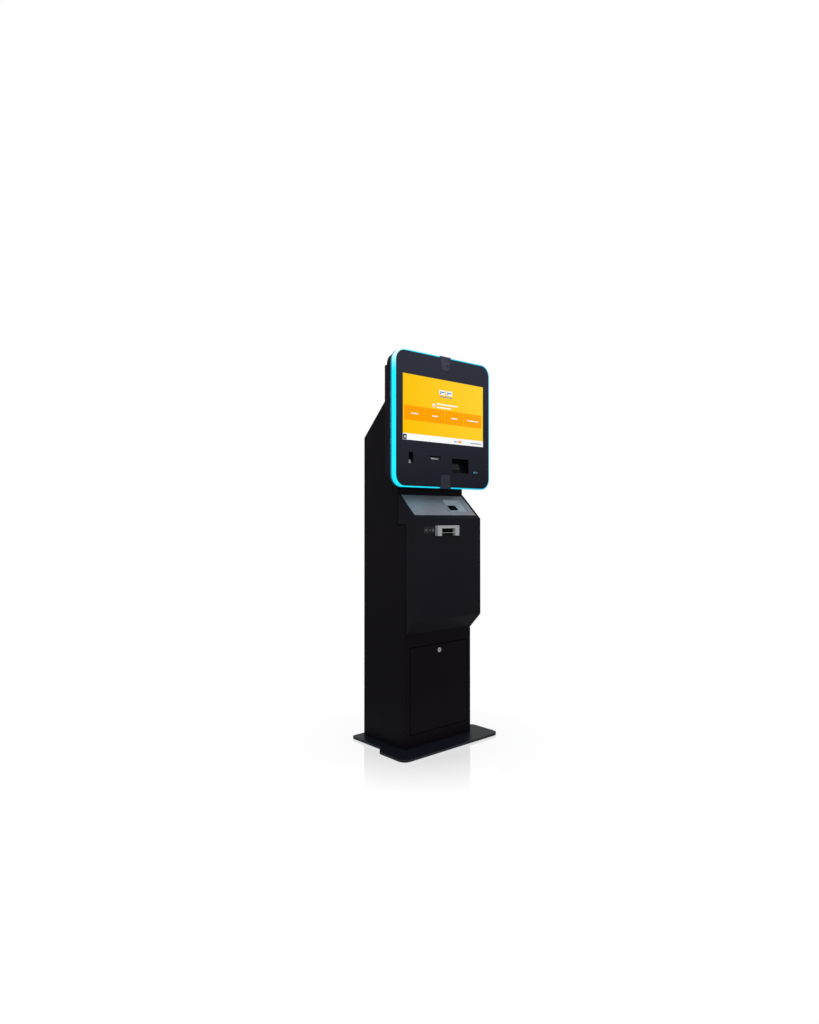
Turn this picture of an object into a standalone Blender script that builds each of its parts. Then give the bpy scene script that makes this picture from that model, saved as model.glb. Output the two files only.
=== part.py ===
"""A free-standing cash machine: a slim sheet-metal column on a floor plate, two service doors, and a square
head with a lit edge that swings open on its left side.

Metres, +Z up, the front faces -Y. The origin is on the floor, under the middle of the floor plate.
Each sub-part is one object in the "atm_machine" collection, and the tools that cut them or are joined
to them are in "cutters".
"""

from math import atan2, cos, hypot, pi, radians, sin, tan

import bmesh
import bpy
from mathutils import Matrix, Vector

# ---- general ----
GAP = 0.0003  # the air between two pieces that touch
SHEET = 0.002  # the cabinet's sheet steel
SEAM = 0.003  # the gap round a door
CORNER_STEPS = 6  # straight pieces in a quarter of a round corner
ROUND_SIDES = 20  # flats on a round piece

# ---- floor plate ----
BASE_WIDTH = 0.560
BASE_DEPTH = 0.392
BASE_THICK = 0.010
BASE_TOE = 0.092  # what stands out in front of the column
BASE_WING_DEPTH = 0.152  # the wide front part
BASE_STEP_DEPTH = 0.038  # the slanted step behind it
BASE_REAR_WIDTH = 0.486
BASE_FRONT_RADIUS = 0.034
BASE_REAR_RADIUS = 0.020
BOLT_INSET = 0.045  # from the column's faces to an anchor bolt
BOLT_RADIUS = 0.006
BOLT_CLEARANCE = 0.001
BOLT_HEAD_RADIUS = 0.0105
BOLT_HEAD_HEIGHT = 0.008
WASHER_RADIUS = 0.015
WASHER_THICK = 0.0025

# ---- column ----
COLUMN_WIDTH = 0.384
COLUMN_DEPTH = 0.274
LEDGE_HEIGHT = 0.928  # where the column's front steps back
RECESS_DEPTH = 0.050
BACK_HEIGHT = 1.310  # where the back folds forward
TOP_HEIGHT = 1.481  # where the slanted top meets the head
STILE = 0.026  # frame beside a door
KICK_HEIGHT = 0.052  # strip under the lower door

# ---- lower door ----
LOWER_DOOR_HEIGHT = 0.356
LOWER_DOOR_FOLD = 0.016
LOWER_HINGE_RISE = 0.008  # hinge line above the door's lower edge
LOWER_HINGE_SET_BACK = 0.006
LOCK_DROP = 0.025  # lock below the lower door's top edge

# ---- upper door ----
UPPER_PROUD = 0.062  # how far it stands out of the column
UPPER_FOOT = 0.475  # its lower edge at the column
UPPER_CHIN = 0.539  # where the front begins
UPPER_BROW = 0.956  # where the front folds into the shelf
UPPER_CREST = 1.064  # the shelf's upper edge
UPPER_HINGE_INSET = 0.008
UPPER_HINGE_PROUD = 0.020
UPPER_LOCK_RISE = 0.201  # above the chin
UPPER_LOCK_PROUD = 0.022

# ---- shelf and card reader, measured on the slanted face ----
SHELF_FRONT_RIM = 0.020
SHELF_SIDE_RIM = 0.009
SHELF_REAR_RIM = 0.008
POCKET_LEFT = COLUMN_WIDTH / 2 - 0.148
POCKET_WIDTH = 0.110
POCKET_UP = 0.046  # from the fold to the pocket's lower edge
POCKET_LENGTH = 0.074
POCKET_DEPTH = 0.014
READER_MARGIN = 0.003
READER_LENGTH = 0.048
READER_HEIGHT = 0.009
READER_WINDOW_WIDTH = 0.050
READER_WINDOW_LENGTH = 0.030
READER_RING_RADIUS = 0.014

# ---- note inlet on the upper door ----
NOTE_X = -0.021
INLET_WIDTH = 0.125
NOTE_HEAD_HALF = 0.060
INLET_HEIGHT = 0.043
INLET_TOP = UPPER_BROW - 0.029
INLET_PROUD = 0.018
INLET_MOUTH_WIDTH = 0.078
INLET_MOUTH_HEIGHT = 0.017
INLET_MOUTH_TOP = INLET_TOP - 0.012
PLATE_WIDTH = 0.062
PLATE_HEIGHT = 0.030

# ---- head ----
HEAD_SIZE = 0.556  # the lit edge is square
HEAD_BOTTOM = 1.084
HEAD_PROUD = 0.037  # the front stands out of the column
HEAD_RADIUS = 0.049
RING_WIDTH = 0.004
RING_DEPTH = 0.030
BEZEL_WALL = 0.0025
BEZEL_SKIRT = 0.026
TRAY_DEPTH = 0.034
TRAY_INSET = 0.010  # the tray behind is this much smaller at the sides
TRAY_INSET_HIGH = 0.008
BOX_WIDTH = HEAD_SIZE - 0.126
BOX_BOTTOM = HEAD_BOTTOM + 0.059
BOX_HEIGHT = HEAD_SIZE - 0.099
BOX_DEPTH = 0.077
HEAD_HINGE_INSET = 0.0055  # hinge line in from the lit edge, in the step beside the tray
HEAD_HINGE_BACK = 0.0047  # and behind it

# ---- screen ----
SCREEN_SIDE = 0.0397  # from the lit edge's side to the screen, where the screen is as wide as it can be
SCREEN_TOP = 0.0975
SCREEN_FOOT = 0.1904
SCREEN_ASPECT = 16 / 9
SCREEN_BORDER = 0.003
GLASS_THICK = 0.003
DISPLAY_BORDER = 0.012
DISPLAY_DEPTH = 0.020

# ---- what the panel under the screen holds ----
FINGER_X = -0.1945
FINGER_Z = HEAD_BOTTOM + 0.119
FINGER_WIDTH = 0.025
FINGER_HEIGHT = 0.046
FINGER_DEPTH = 0.014
RECEIPT_X = -0.0605
RECEIPT_Z = HEAD_BOTTOM + 0.1255
RECEIPT_WIDTH = 0.065
RECEIPT_HEIGHT = 0.015
RECEIPT_THROAT = 0.016
PAPER_WIDTH = 0.057
PAPER_THICK = 0.0006
ROLL_RADIUS = 0.026
ROLL_CORE = 0.0065
PLATEN_RADIUS = 0.0065
AXLE_BORE = 0.0024
SCANNER_X = 0.0915
SCANNER_Z = HEAD_BOTTOM + 0.098
SCANNER_WIDTH = 0.103
SCANNER_HEIGHT = 0.062
SCANNER_DEPTH = 0.034
BADGE_X = 0.1875
BADGE_Z = HEAD_BOTTOM + 0.074
BADGE_WIDTH = 0.037
BADGE_HEIGHT = 0.016

# ---- clips over the lit edge, and the camera ----
CLIP_WIDTH = 0.064
CLIP_TAPER = 0.010  # narrower at each side of its tongue
CLIP_LENGTH = 0.057
CLIP_THICK = 0.0015
CLIP_RADIUS = 0.008
CAMERA_X = 0.014
CAMERA_Z = HEAD_BOTTOM + HEAD_SIZE - 0.037
CAMERA_RADIUS = 0.0035

# ---- hinges and locks ----
HINGE_ROD_RADIUS = 0.0022
SLEEVE_RADIUS = 0.0040
ARM_HEIGHT = 0.010
UPPER_ROD_LOW = UPPER_CHIN + 0.051
UPPER_ROD_HIGH = UPPER_ROD_LOW + 0.290
UPPER_ARM_LEVELS = (UPPER_ROD_LOW + 0.010, UPPER_ROD_HIGH - 0.020)
UPPER_SLEEVE_LEVELS = (UPPER_ROD_LOW + 0.022, UPPER_ROD_LOW + 0.126, UPPER_ROD_HIGH - 0.062)
LOWER_ARM_X = 0.120
HEAD_ROD_HALF = 0.148
HEAD_SLEEVE_PITCH = 0.125  # from one moving sleeve to the next
SLEEVE_LENGTH = 0.040
UPPER_LOCK_IN = 0.0175  # from the column's side in to the cam
LOCK_RADIUS = 0.0080
LOCK_COLLAR = 0.0100
LOCK_COLLAR_THICK = 0.003
LOCK_LENGTH = 0.016
UPPER_CAM_LENGTH = 0.030
UPPER_CAM_HOOK = 0.010  # what catches behind the frame when it is locked
LOWER_CAM_LENGTH = 0.036
CAM_WIDTH = 0.009
STRIKE_BELOW = 0.0056  # the slot in the frame that the upper cam swings into
STRIKE_ABOVE = 0.0275
CAM_THICK = 0.0025

# ---- back of the column ----
VENT_ROWS = 7
VENT_BOTTOM = 1.120
VENT_PITCH = 0.016
VENT_LENGTH = 0.110
VENT_HEIGHT = 0.005
FAN_X = 0.0
FAN_Z = 0.960
FAN_BORE = 0.042
INLET_X = -0.100
GLAND_X = 0.100
SOCKET_Z = 0.120
SOCKET_WIDTH = 0.047
SOCKET_HEIGHT = 0.027
GLAND_RADIUS = 0.010

ROCKER_X = INLET_X - 0.0135
ROCKER_TILT = 9  # degrees the switch leans at rest
NOTE_UNIT_HALF = 0.070
SUPPLY_CLEAR = 0.015  # air on both sides of the power supply
CASSETTE_CLEAR = 0.027  # from the anchor washers in to the cassette
CASSETTE_TOP = 0.330
HANDLE_Z = 0.240
HANDLE_HALF = 0.050
HANDLE_DROP = 0.030
HANDLE_WIRE = 0.003

# ---- places worked out from the sizes ----
FRONT = BASE_TOE - BASE_DEPTH / 2  # the column's front face
BACK = FRONT + COLUMN_DEPTH
SIDE = COLUMN_WIDTH / 2
INSIDE = SIDE - SHEET - GAP
ON_BASE = BASE_THICK + GAP
RECESS = FRONT + RECESS_DEPTH
DOOR_FACE = FRONT - UPPER_PROUD
HEAD_FACE = FRONT - HEAD_PROUD
HEAD_HALF = HEAD_SIZE / 2
HEAD_TOP = HEAD_BOTTOM + HEAD_SIZE
HEAD_MIDDLE = HEAD_BOTTOM + HEAD_HALF
RING_BACK = HEAD_FACE + GAP + RING_DEPTH
TRAY_FRONT = RING_BACK + 2 * GAP
TRAY_BACK = TRAY_FRONT + TRAY_DEPTH
BOX_FRONT = TRAY_BACK + GAP
BOX_BACK = BOX_FRONT + BOX_DEPTH
BOX_TOP = BOX_BOTTOM + BOX_HEIGHT
LOWER_DOOR_BOTTOM = BASE_THICK + KICK_HEIGHT + SEAM
LOWER_DOOR_TOP = LOWER_DOOR_BOTTOM + LOWER_DOOR_HEIGHT
LOWER_HALF = SIDE - STILE
BEZEL_HALF = HEAD_HALF - RING_WIDTH - GAP
BEZEL_INNER = HEAD_FACE + BEZEL_WALL + GAP  # where a piece behind the front starts
SHELF_HEIGHT = LOWER_DOOR_TOP + 0.031  # the floor of the upper bay
NOTE_UNIT_TOP = SHELF_HEIGHT + 0.428
UPPER_LOCK_HEIGHT = UPPER_CHIN + UPPER_LOCK_RISE
SCREEN_WIDTH = min(HEAD_SIZE - 2 * SCREEN_SIDE, (HEAD_SIZE - SCREEN_TOP - SCREEN_FOOT) * SCREEN_ASPECT)
SCREEN_HEIGHT = SCREEN_WIDTH / SCREEN_ASPECT
SCREEN_CENTRE = HEAD_TOP - SCREEN_TOP - SCREEN_HEIGHT / 2
SHELF_ANGLE = atan2(UPPER_CREST - UPPER_BROW, UPPER_PROUD + RECESS_DEPTH)
SHELF_LENGTH = hypot(UPPER_CREST - UPPER_BROW, UPPER_PROUD + RECESS_DEPTH)


def view(across, up, along, origin=(0.0, 0.0, 0.0)):
    """The matrix that puts an outline's own three directions, and its zero, where they are given."""
    matrix = Matrix((across, up, along)).transposed().to_4x4()
    matrix.translation = origin
    return matrix


FROM_FRONT = view((1, 0, 0), (0, 0, 1), (0, 1, 0))
FROM_SIDE = view((0, 1, 0), (0, 0, 1), (1, 0, 0))
FROM_ABOVE = view((1, 0, 0), (0, 1, 0), (0, 0, 1))
ON_SHELF = view(
    (1, 0, 0),
    (0, cos(SHELF_ANGLE), sin(SHELF_ANGLE)),
    (0, -sin(SHELF_ANGLE), cos(SHELF_ANGLE)),
    (0, DOOR_FACE, UPPER_BROW),
)


# ---- finishes ----
def finish(name, colour, roughness, metallic=0.0):
    """A Principled material."""
    material = bpy.data.materials.new(name)
    material.use_nodes = True
    shader = material.node_tree.nodes["Principled BSDF"]
    shader.inputs["Base Color"].default_value = (*colour, 1.0)
    shader.inputs["Roughness"].default_value = roughness
    shader.inputs["Metallic"].default_value = metallic
    return material


# ---- making and placing objects ----
def clear_scene():
    for obj in list(bpy.data.objects):
        bpy.data.objects.remove(obj, do_unlink=True)


def new_collection(name):
    collection = bpy.data.collections.new(name)
    bpy.context.scene.collection.children.link(collection)
    return collection


def place(obj, material):
    """Links the object as a sub-part in its finish, or as a cutter where it has none."""
    if material:
        PARTS.objects.link(obj)
        obj.data.materials.append(material)
    else:
        CUTTERS.objects.link(obj)
        obj.hide_render = True
        obj.display_type = "WIRE"
    return obj


def solid(name, mesh, material, bevel=0.0, segments=2):
    obj = place(bpy.data.objects.new(name, mesh), material)
    if bevel:
        rounding = obj.modifiers.new("rounded_edges", "BEVEL")
        rounding.width = bevel
        rounding.segments = segments
        rounding.angle_limit = radians(30)
        rounding.limit_method = "ANGLE"
    return obj


def mesh_from(bm, name):
    bmesh.ops.recalc_face_normals(bm, faces=bm.faces)
    mesh = bpy.data.meshes.new(name)
    bm.to_mesh(mesh)
    bm.free()
    return mesh


def box(name, low, high, material=None, bevel=0.0):
    """A block between two opposite corners."""
    low, high = Vector(low), Vector(high)
    bm = bmesh.new()
    bmesh.ops.create_cube(bm, size=1.0)
    bmesh.ops.scale(bm, vec=high - low, verts=bm.verts)
    bmesh.ops.translate(bm, vec=(low + high) / 2, verts=bm.verts)
    return solid(name, mesh_from(bm, name), material, bevel)


def rod(name, start, end, radius, material=None, sides=ROUND_SIDES, bevel=0.0):
    """A round bar, or one with as many flats as sides, between two points."""
    start, end = Vector(start), Vector(end)
    bm = bmesh.new()
    length = (end - start).length
    bmesh.ops.create_cone(bm, cap_ends=True, segments=sides, radius1=radius, radius2=radius, depth=length)
    turn = Vector((0, 0, 1)).rotation_difference(end - start).to_matrix().to_4x4()
    bmesh.ops.transform(bm, matrix=Matrix.Translation((start + end) / 2) @ turn, verts=bm.verts)
    obj = solid(name, mesh_from(bm, name), material, bevel)
    if sides > 8:
        smooth(obj)
    return obj


def prism(name, outline, seen, low, high, material=None, holes=(), bevel=0.0):
    """A flat outline, with holes in it, made solid from low to high across the view that it is drawn in."""
    curve = bpy.data.curves.new(name, "CURVE")
    curve.dimensions = "2D"
    curve.fill_mode = "BOTH"
    curve.extrude = (high - low) / 2
    for points in (outline, *holes):
        spline = curve.splines.new("POLY")
        spline.points.add(len(points) - 1)
        spline.use_cyclic_u = True
        for point, (across, up) in zip(spline.points, points):
            point.co = (across, up, 0.0, 1.0)
    guide = bpy.data.objects.new(name + "_outline", curve)
    bpy.context.scene.collection.objects.link(guide)
    bpy.context.view_layer.update()
    mesh = bpy.data.meshes.new_from_object(guide.evaluated_get(bpy.context.evaluated_depsgraph_get()))
    bpy.data.objects.remove(guide)
    bm = bmesh.new()
    bm.from_mesh(mesh)
    bpy.data.meshes.remove(mesh)
    bmesh.ops.remove_doubles(bm, verts=bm.verts, dist=1e-6)
    if not holes:
        bmesh.ops.dissolve_limit(bm, angle_limit=radians(1), verts=bm.verts, edges=bm.edges)
    matrix = seen @ Matrix.Translation((0, 0, (low + high) / 2))
    bmesh.ops.transform(bm, matrix=matrix, verts=bm.verts)
    return solid(name, mesh_from(bm, name), material, bevel)


def shell(name, outline, seen, low, high, open_sides, wall, material, cap_low=True, cap_high=True, bevel=0.0):
    """A sheet-metal case: the outline's walls between low and high, less the numbered ones, and its ends.

    The sheet lies inside the outline, and wall is its thickness.
    """
    bm = bmesh.new()
    ends = [[bm.verts.new(seen @ Vector((across, up, level))) for across, up in outline] for level in (low,
                                                                                                       high)]
    count = len(outline)
    for side in range(count):
        after = (side + 1) % count
        if side not in open_sides:
            bm.faces.new((ends[0][side], ends[0][after], ends[1][after], ends[1][side]))
    for wanted, corners in ((cap_low, ends[0]), (cap_high, ends[1])):
        if wanted:
            bm.faces.new(corners)
    centre = sum((v.co for v in bm.verts), Vector()) / len(bm.verts)
    bmesh.ops.recalc_face_normals(bm, faces=bm.faces)
    outward = sum((f.calc_center_median() - centre).dot(f.normal) * f.calc_area() for f in bm.faces)
    if outward < 0:
        bmesh.ops.reverse_faces(bm, faces=bm.faces)
    mesh = bpy.data.meshes.new(name)
    bm.to_mesh(mesh)
    bm.free()
    obj = place(bpy.data.objects.new(name, mesh), material)
    thick = obj.modifiers.new("sheet", "SOLIDIFY")
    thick.thickness = wall
    thick.offset = -1.0
    thick.use_even_offset = True
    thick.use_quality_normals = True
    if bevel:
        rounding = obj.modifiers.new("rounded_edges", "BEVEL")
        rounding.width = bevel
        rounding.segments = 2
        rounding.limit_method = "ANGLE"
        rounding.angle_limit = radians(30)
    return obj


def turned(name, profile, centre, direction, material=None, steps=ROUND_SIDES):
    """A turned piece: its profile of (radius, height) runs down the outer side, and heights lie along
    direction."""
    mesh = bpy.data.meshes.new(name)
    edges = [(i, i + 1) for i in range(len(profile) - 1)]
    mesh.from_pydata([(radius, 0.0, height) for radius, height in profile], edges, [])
    obj = place(bpy.data.objects.new(name, mesh), material)
    obj.location = centre
    obj.rotation_mode = "QUATERNION"
    obj.rotation_quaternion = Vector((0, 0, 1)).rotation_difference(Vector(direction))
    spin = obj.modifiers.new("turned", "SCREW")
    spin.steps = spin.render_steps = steps
    spin.use_merge_vertices = True
    spin.merge_threshold = 0.00001
    spin.use_smooth_shade = False
    return obj


def smooth(obj):
    obj.data.shade_smooth()
    obj.data.set_sharp_from_angle(angle=radians(35))


def boolean(obj, tools, operation):
    for tool in tools:
        step = obj.modifiers.new(tool.name, "BOOLEAN")
        step.operation = operation
        step.object = tool
    return obj


def cut(obj, *tools):
    return boolean(obj, tools, "DIFFERENCE")


def weld_on(obj, *tools):
    return boolean(obj, tools, "UNION")


def set_origin(obj, point):
    """Moves the object's origin to a point and leaves its shape where it is."""
    shift = Vector(point) - obj.location
    turn = obj.matrix_basis.to_quaternion().inverted()
    obj.data.transform(Matrix.Translation(-(turn @ shift)))
    obj.location = point


# ---- outlines ----
def arc(centre, radius, start, end, steps=CORNER_STEPS):
    """Points along an arc, in degrees, both ends included."""
    turns = [radians(start + (end - start) * step / steps) for step in range(steps + 1)]
    return [(centre[0] + radius * cos(turn), centre[1] + radius * sin(turn)) for turn in turns]


def rectangle(left, bottom, right, top):
    return [(left, bottom), (right, bottom), (right, top), (left, top)]


def rounded(left, bottom, right, top, radius, steps=CORNER_STEPS):
    """A rectangle with round corners."""
    corners = [
        ((right - radius, bottom + radius), -90),
        ((right - radius, top - radius), 0),
        ((left + radius, top - radius), 90),
        ((left + radius, bottom + radius), 180),
    ]
    return [point for centre, start in corners for point in arc(centre, radius, start, start + 90, steps)]


def centred(middle, size, radius=0.0):
    """A rectangle, with round corners if it has a radius, about its middle."""
    (x, z), (width, height) = middle, size
    sides = (x - width / 2, z - height / 2, x + width / 2, z + height / 2)
    return rounded(*sides, radius) if radius else rectangle(*sides)


def circle(centre, radius, sides=ROUND_SIDES):
    return arc(centre, radius, 0, 360 - 360 / sides, sides - 1)


def softened(points, radii, steps=CORNER_STEPS):
    """A polygon whose corners are rounded, each by its own radius."""
    result = []
    count = len(points)
    for index, radius in enumerate(radii):
        here = Vector(points[index])
        if not radius:
            result.append(tuple(here))
            continue
        before = (Vector(points[index - 1]) - here).normalized()
        after = (Vector(points[(index + 1) % count]) - here).normalized()
        half = before.angle(after) / 2
        centre = here + (before + after).normalized() * radius / sin(half)
        start = here + before * radius / tan(half) - centre
        sweep = pi - 2 * half
        sense = 1 if before.cross(after) < 0 else -1
        for step in range(steps + 1):
            turn = Matrix.Rotation(sense * sweep * step / steps, 2)
            result.append(tuple(centre + turn @ start))
    return result


# ---- cabinet ----
def hinge_arm(name, line, reach, foot, level, height, back_to):
    """A gooseneck arm: from behind the frame, through its opening, and across in front of it to a
    hinge line."""
    x, y = line
    outline = [(x - 0.004, y - 0.004), (reach + 0.010, y - 0.004), (reach + 0.010, back_to + 0.004),
               (foot, back_to + 0.004), (foot, back_to - 0.001), (reach, back_to - 0.001),
               (reach, y + 0.004), (x - 0.004, y + 0.004)]
    return prism(name, outline, FROM_ABOVE, level, level + height)


def base_plate(steel):
    front, back = -BASE_DEPTH / 2, BASE_DEPTH / 2
    wide, narrow = BASE_WIDTH / 2, BASE_REAR_WIDTH / 2
    wing = front + BASE_WING_DEPTH
    step = wing + BASE_STEP_DEPTH
    outline = softened(
        [(-wide, front), (wide, front), (wide, wing), (narrow, step), (narrow, back),
         (-narrow, back), (-narrow, step), (-wide, wing)],
        [BASE_FRONT_RADIUS] * 2 + [BASE_REAR_RADIUS, 0.010] + [BASE_REAR_RADIUS] * 2 + [0.010,
                                                                                        BASE_REAR_RADIUS],
    )
    holes = [circle(place_of, BOLT_RADIUS + BOLT_CLEARANCE) for place_of in bolt_places()]
    return prism("base_plate", outline, FROM_ABOVE, 0, BASE_THICK, steel, holes, bevel=0.0012)


def bolt_places():
    across, ahead, behind = SIDE - BOLT_INSET, FRONT + BOLT_INSET, BACK - BOLT_INSET
    return [(-across, ahead), (across, ahead), (across, behind), (-across, behind)]


def anchor_bolts(zinc):
    """Bolts through the floor plate, inside the column."""
    for number, (x, y) in enumerate(bolt_places(), start=1):
        bottom = BASE_THICK + GAP
        head = bottom + WASHER_THICK
        bolt = rod(f"anchor_bolt_{number}", (x, y, GAP), (x, y, head + 0.001), BOLT_RADIUS, zinc)
        weld_on(
            bolt,
            rod(f"washer_{number}", (x, y, bottom), (x, y, head), WASHER_RADIUS),
            rod(f"hex_{number}", (x, y, head - 0.0005), (x, y, head + BOLT_HEAD_HEIGHT), BOLT_HEAD_RADIUS,
                sides=6),
        )


def side_outline():
    return [
        (FRONT, ON_BASE), (BACK, ON_BASE), (BACK, BACK_HEIGHT), (BOX_BACK + GAP, TOP_HEIGHT),
        (BOX_BACK + GAP, BOX_BOTTOM - GAP), (RECESS, BOX_BOTTOM - GAP), (RECESS, LEDGE_HEIGHT),
        (FRONT, LEDGE_HEIGHT),
    ]


def side_panels(paint):
    for name, low, high in (("left_side_panel", -SIDE, SHEET - SIDE),
                            ("right_side_panel", SIDE - SHEET, SIDE)):
        prism(name, side_outline(), FROM_SIDE, low, high, paint, bevel=0.0007)


def back_panel(paint):
    """The back, with its vents, the fan's opening, the power inlet's and the cable gland's."""
    top = BACK_HEIGHT - 1.5 * SHEET - GAP
    panel = box("back_panel", (-INSIDE, BACK - SHEET, ON_BASE), (INSIDE, BACK, top), paint)
    for row in range(VENT_ROWS):
        z = VENT_BOTTOM + row * VENT_PITCH
        for x in (-VENT_LENGTH / 2 - 0.012, VENT_LENGTH / 2 + 0.012):
            slot = centred((x, z), (VENT_LENGTH, VENT_HEIGHT))
            cut(panel, prism(f"vent_{row}_{x:.2f}", slot, FROM_FRONT, BACK - 0.01, BACK + 0.01))
    cut(
        panel,
        rod("fan_opening", (FAN_X, BACK - 0.01, FAN_Z), (FAN_X, BACK + 0.01, FAN_Z), FAN_BORE, sides=32),
        prism("inlet_opening", centred((INLET_X, SOCKET_Z), (SOCKET_WIDTH, SOCKET_HEIGHT)), FROM_FRONT,
              BACK - 0.01, BACK + 0.01),
        rod("gland_opening", (GLAND_X, BACK - 0.01, SOCKET_Z), (GLAND_X, BACK + 0.01, SOCKET_Z),
            GLAND_RADIUS + GAP, sides=16),
    )
    return panel


def sloped_top_panel(paint):
    ahead = BOX_BACK + GAP
    fall = SHEET * hypot(BACK - ahead, TOP_HEIGHT - BACK_HEIGHT) / (BACK - ahead)
    outline = [(ahead, TOP_HEIGHT - fall), (BACK, BACK_HEIGHT - fall), (BACK, BACK_HEIGHT),
               (ahead, TOP_HEIGHT)]
    return prism("sloped_top_panel", outline, FROM_SIDE, -INSIDE, INSIDE, paint)


def front_frame(paint, lower_line, upper_line):
    """The column's front: the surrounds of both door openings, with the fixed hinge arms."""
    frame = prism(
        "front_frame",
        rectangle(-INSIDE, ON_BASE, INSIDE, LEDGE_HEIGHT - SHEET - GAP), FROM_FRONT, FRONT, FRONT + SHEET,
                  paint,
        holes=[
            rectangle(-LOWER_HALF - SEAM, BASE_THICK + KICK_HEIGHT, LOWER_HALF + SEAM, LOWER_DOOR_TOP + SEAM),
            rectangle(-LOWER_HALF, UPPER_FOOT + STILE, LOWER_HALF, LEDGE_HEIGHT - STILE),
        ],
    )
    cam_x = SIDE - UPPER_LOCK_IN
    low, high = UPPER_LOCK_HEIGHT - STRIKE_BELOW, UPPER_LOCK_HEIGHT + STRIKE_ABOVE
    cut(frame, box("strike_slot", (cam_x - 0.005, FRONT - 0.01, low), (cam_x + 0.005, FRONT + 0.01, high)))
    for number, level in enumerate(UPPER_ARM_LEVELS):
        arm = hinge_arm(f"upper_arm_{number}", upper_line, -SIDE + 0.032, -SIDE + 0.012, level, ARM_HEIGHT,
                        FRONT + SHEET)
        weld_on(frame, arm)
    y, z = lower_line
    foot = BASE_THICK + KICK_HEIGHT - 2 * SEAM
    bend = [(FRONT + SHEET / 2, foot), (y + 0.015, foot), (y + 0.015, z + 0.0035), (y, z + 0.0035),
            (y - 0.0025, z + 0.0025), (y - 0.0035, z), (y - 0.0025, z - 0.0025), (y, z - 0.0035),
            (y + 0.011, z - 0.0035), (y + 0.011, foot + SEAM),
            (FRONT + SHEET / 2, foot + SEAM)]
    for number, x in enumerate((-LOWER_ARM_X, LOWER_ARM_X - ARM_HEIGHT)):
        weld_on(frame, prism(f"lower_arm_{number}", bend, FROM_SIDE, x, x + ARM_HEIGHT))
    run = HINGE_ROD_RADIUS + GAP
    cut(
        frame,
        rod("upper_rod_bore", (*upper_line, UPPER_ROD_LOW - 0.01), (*upper_line, UPPER_ROD_HIGH + 0.01), run),
        rod("lower_rod_bore", (-LOWER_ARM_X - 0.01, y, z), (LOWER_ARM_X + 0.01, y, z), run),
    )
    return frame


def recess_panel(paint):
    """The ledge and the riser where the column steps back under the head."""
    outline = [
        (FRONT, LEDGE_HEIGHT - SHEET), (RECESS + SHEET, LEDGE_HEIGHT - SHEET),
               (RECESS + SHEET, BOX_BOTTOM - GAP),
        (RECESS, BOX_BOTTOM - GAP), (RECESS, LEDGE_HEIGHT), (FRONT, LEDGE_HEIGHT),
    ]
    return prism("recess_panel", outline, FROM_SIDE, -INSIDE, INSIDE, paint)


def hinge_rods(zinc, upper_line, lower_line, head_line):
    rod("upper_hinge_rod", (*upper_line, UPPER_ROD_LOW), (*upper_line, UPPER_ROD_HIGH), HINGE_ROD_RADIUS,
        zinc)
    y, z = lower_line
    rod("lower_hinge_rod", (-LOWER_ARM_X - 0.006, y, z), (LOWER_ARM_X + 0.006, y, z), HINGE_ROD_RADIUS, zinc)
    x, y = head_line
    low, high = HEAD_MIDDLE - HEAD_ROD_HALF, HEAD_MIDDLE + HEAD_ROD_HALF
    rod("head_hinge_rod", (x, y, low), (x, y, high), HINGE_ROD_RADIUS, zinc)


def equipment_shelf(zinc):
    """The floor of the upper bay, with a folded front edge."""
    high = SHELF_HEIGHT
    ahead, behind = FRONT + 0.024, BACK - SHEET - GAP
    outline = [(ahead, high - 0.018), (ahead + SHEET, high - 0.018), (ahead + SHEET, high - SHEET),
               (behind, high - SHEET), (behind, high), (ahead, high)]
    shelf = prism("equipment_shelf", outline, FROM_SIDE, -INSIDE, INSIDE, zinc)
    opening = rounded(-0.060, BACK - 0.062, 0.060, BACK - 0.022, 0.008)
    return cut(shelf, prism("cable_opening", opening, FROM_ABOVE, high - 0.01, high + 0.01))


# ---- head, the fixed part ----
def head_tray(paint, line):
    """The shallow case behind the lit edge, with the fixed hinge sleeves in the step at its left."""
    half = HEAD_HALF - TRAY_INSET
    low, high = HEAD_BOTTOM + TRAY_INSET_HIGH, HEAD_TOP - TRAY_INSET_HIGH
    outline = rounded(-half, low, half, high, HEAD_RADIUS)
    tray = shell("head_tray", outline, FROM_FRONT, TRAY_FRONT, TRAY_BACK, (), SHEET, paint, cap_low=False)
    opening = rectangle(-BOX_WIDTH / 2 + 0.014, BOX_BOTTOM + 0.014, BOX_WIDTH / 2 - 0.014, BOX_TOP - 0.014)
    cut(tray, prism("tray_opening", opening, FROM_FRONT, TRAY_BACK - 0.01, TRAY_BACK + 0.01))
    x, y = line
    starts = [(x, y, HEAD_MIDDLE + step * HEAD_SLEEVE_PITCH / 2 - SLEEVE_LENGTH / 2) for step in (-1, 1)]
    webs = [((x, y - 0.0015, z), (-half + SHEET / 2, y + 0.0015, z + SLEEVE_LENGTH)) for _, _, z in starts]
    return sleeves(tray, starts, (0, 0, 1), SLEEVE_LENGTH, webs)


def head_box(paint):
    """The square case behind the tray, which sits on the column's step and opens into it."""
    outline = softened(rectangle(-BOX_WIDTH / 2, BOX_BOTTOM, BOX_WIDTH / 2, BOX_TOP), [0.006] * 4, steps=3)
    case = shell("head_box", outline, FROM_FRONT, BOX_FRONT, BOX_BACK, (), SHEET, paint, cap_low=False)
    opening = rounded(-0.130, BOX_BOTTOM + 0.040, 0.130, TOP_HEIGHT - 0.060, 0.012, steps=3)
    cut(case, prism("cable_way", opening, FROM_FRONT, BOX_BACK - 0.01, BOX_BACK + 0.01))
    for row in range(5):
        middle = (0.0, BOX_TOP - 0.030 - row * 0.012)
        slot = centred(middle, (0.240, 0.005))
        cut(case, prism(f"box_vent_{row}", slot, FROM_FRONT, BOX_BACK - 0.01, BOX_BACK + 0.01))
    return case


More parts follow.
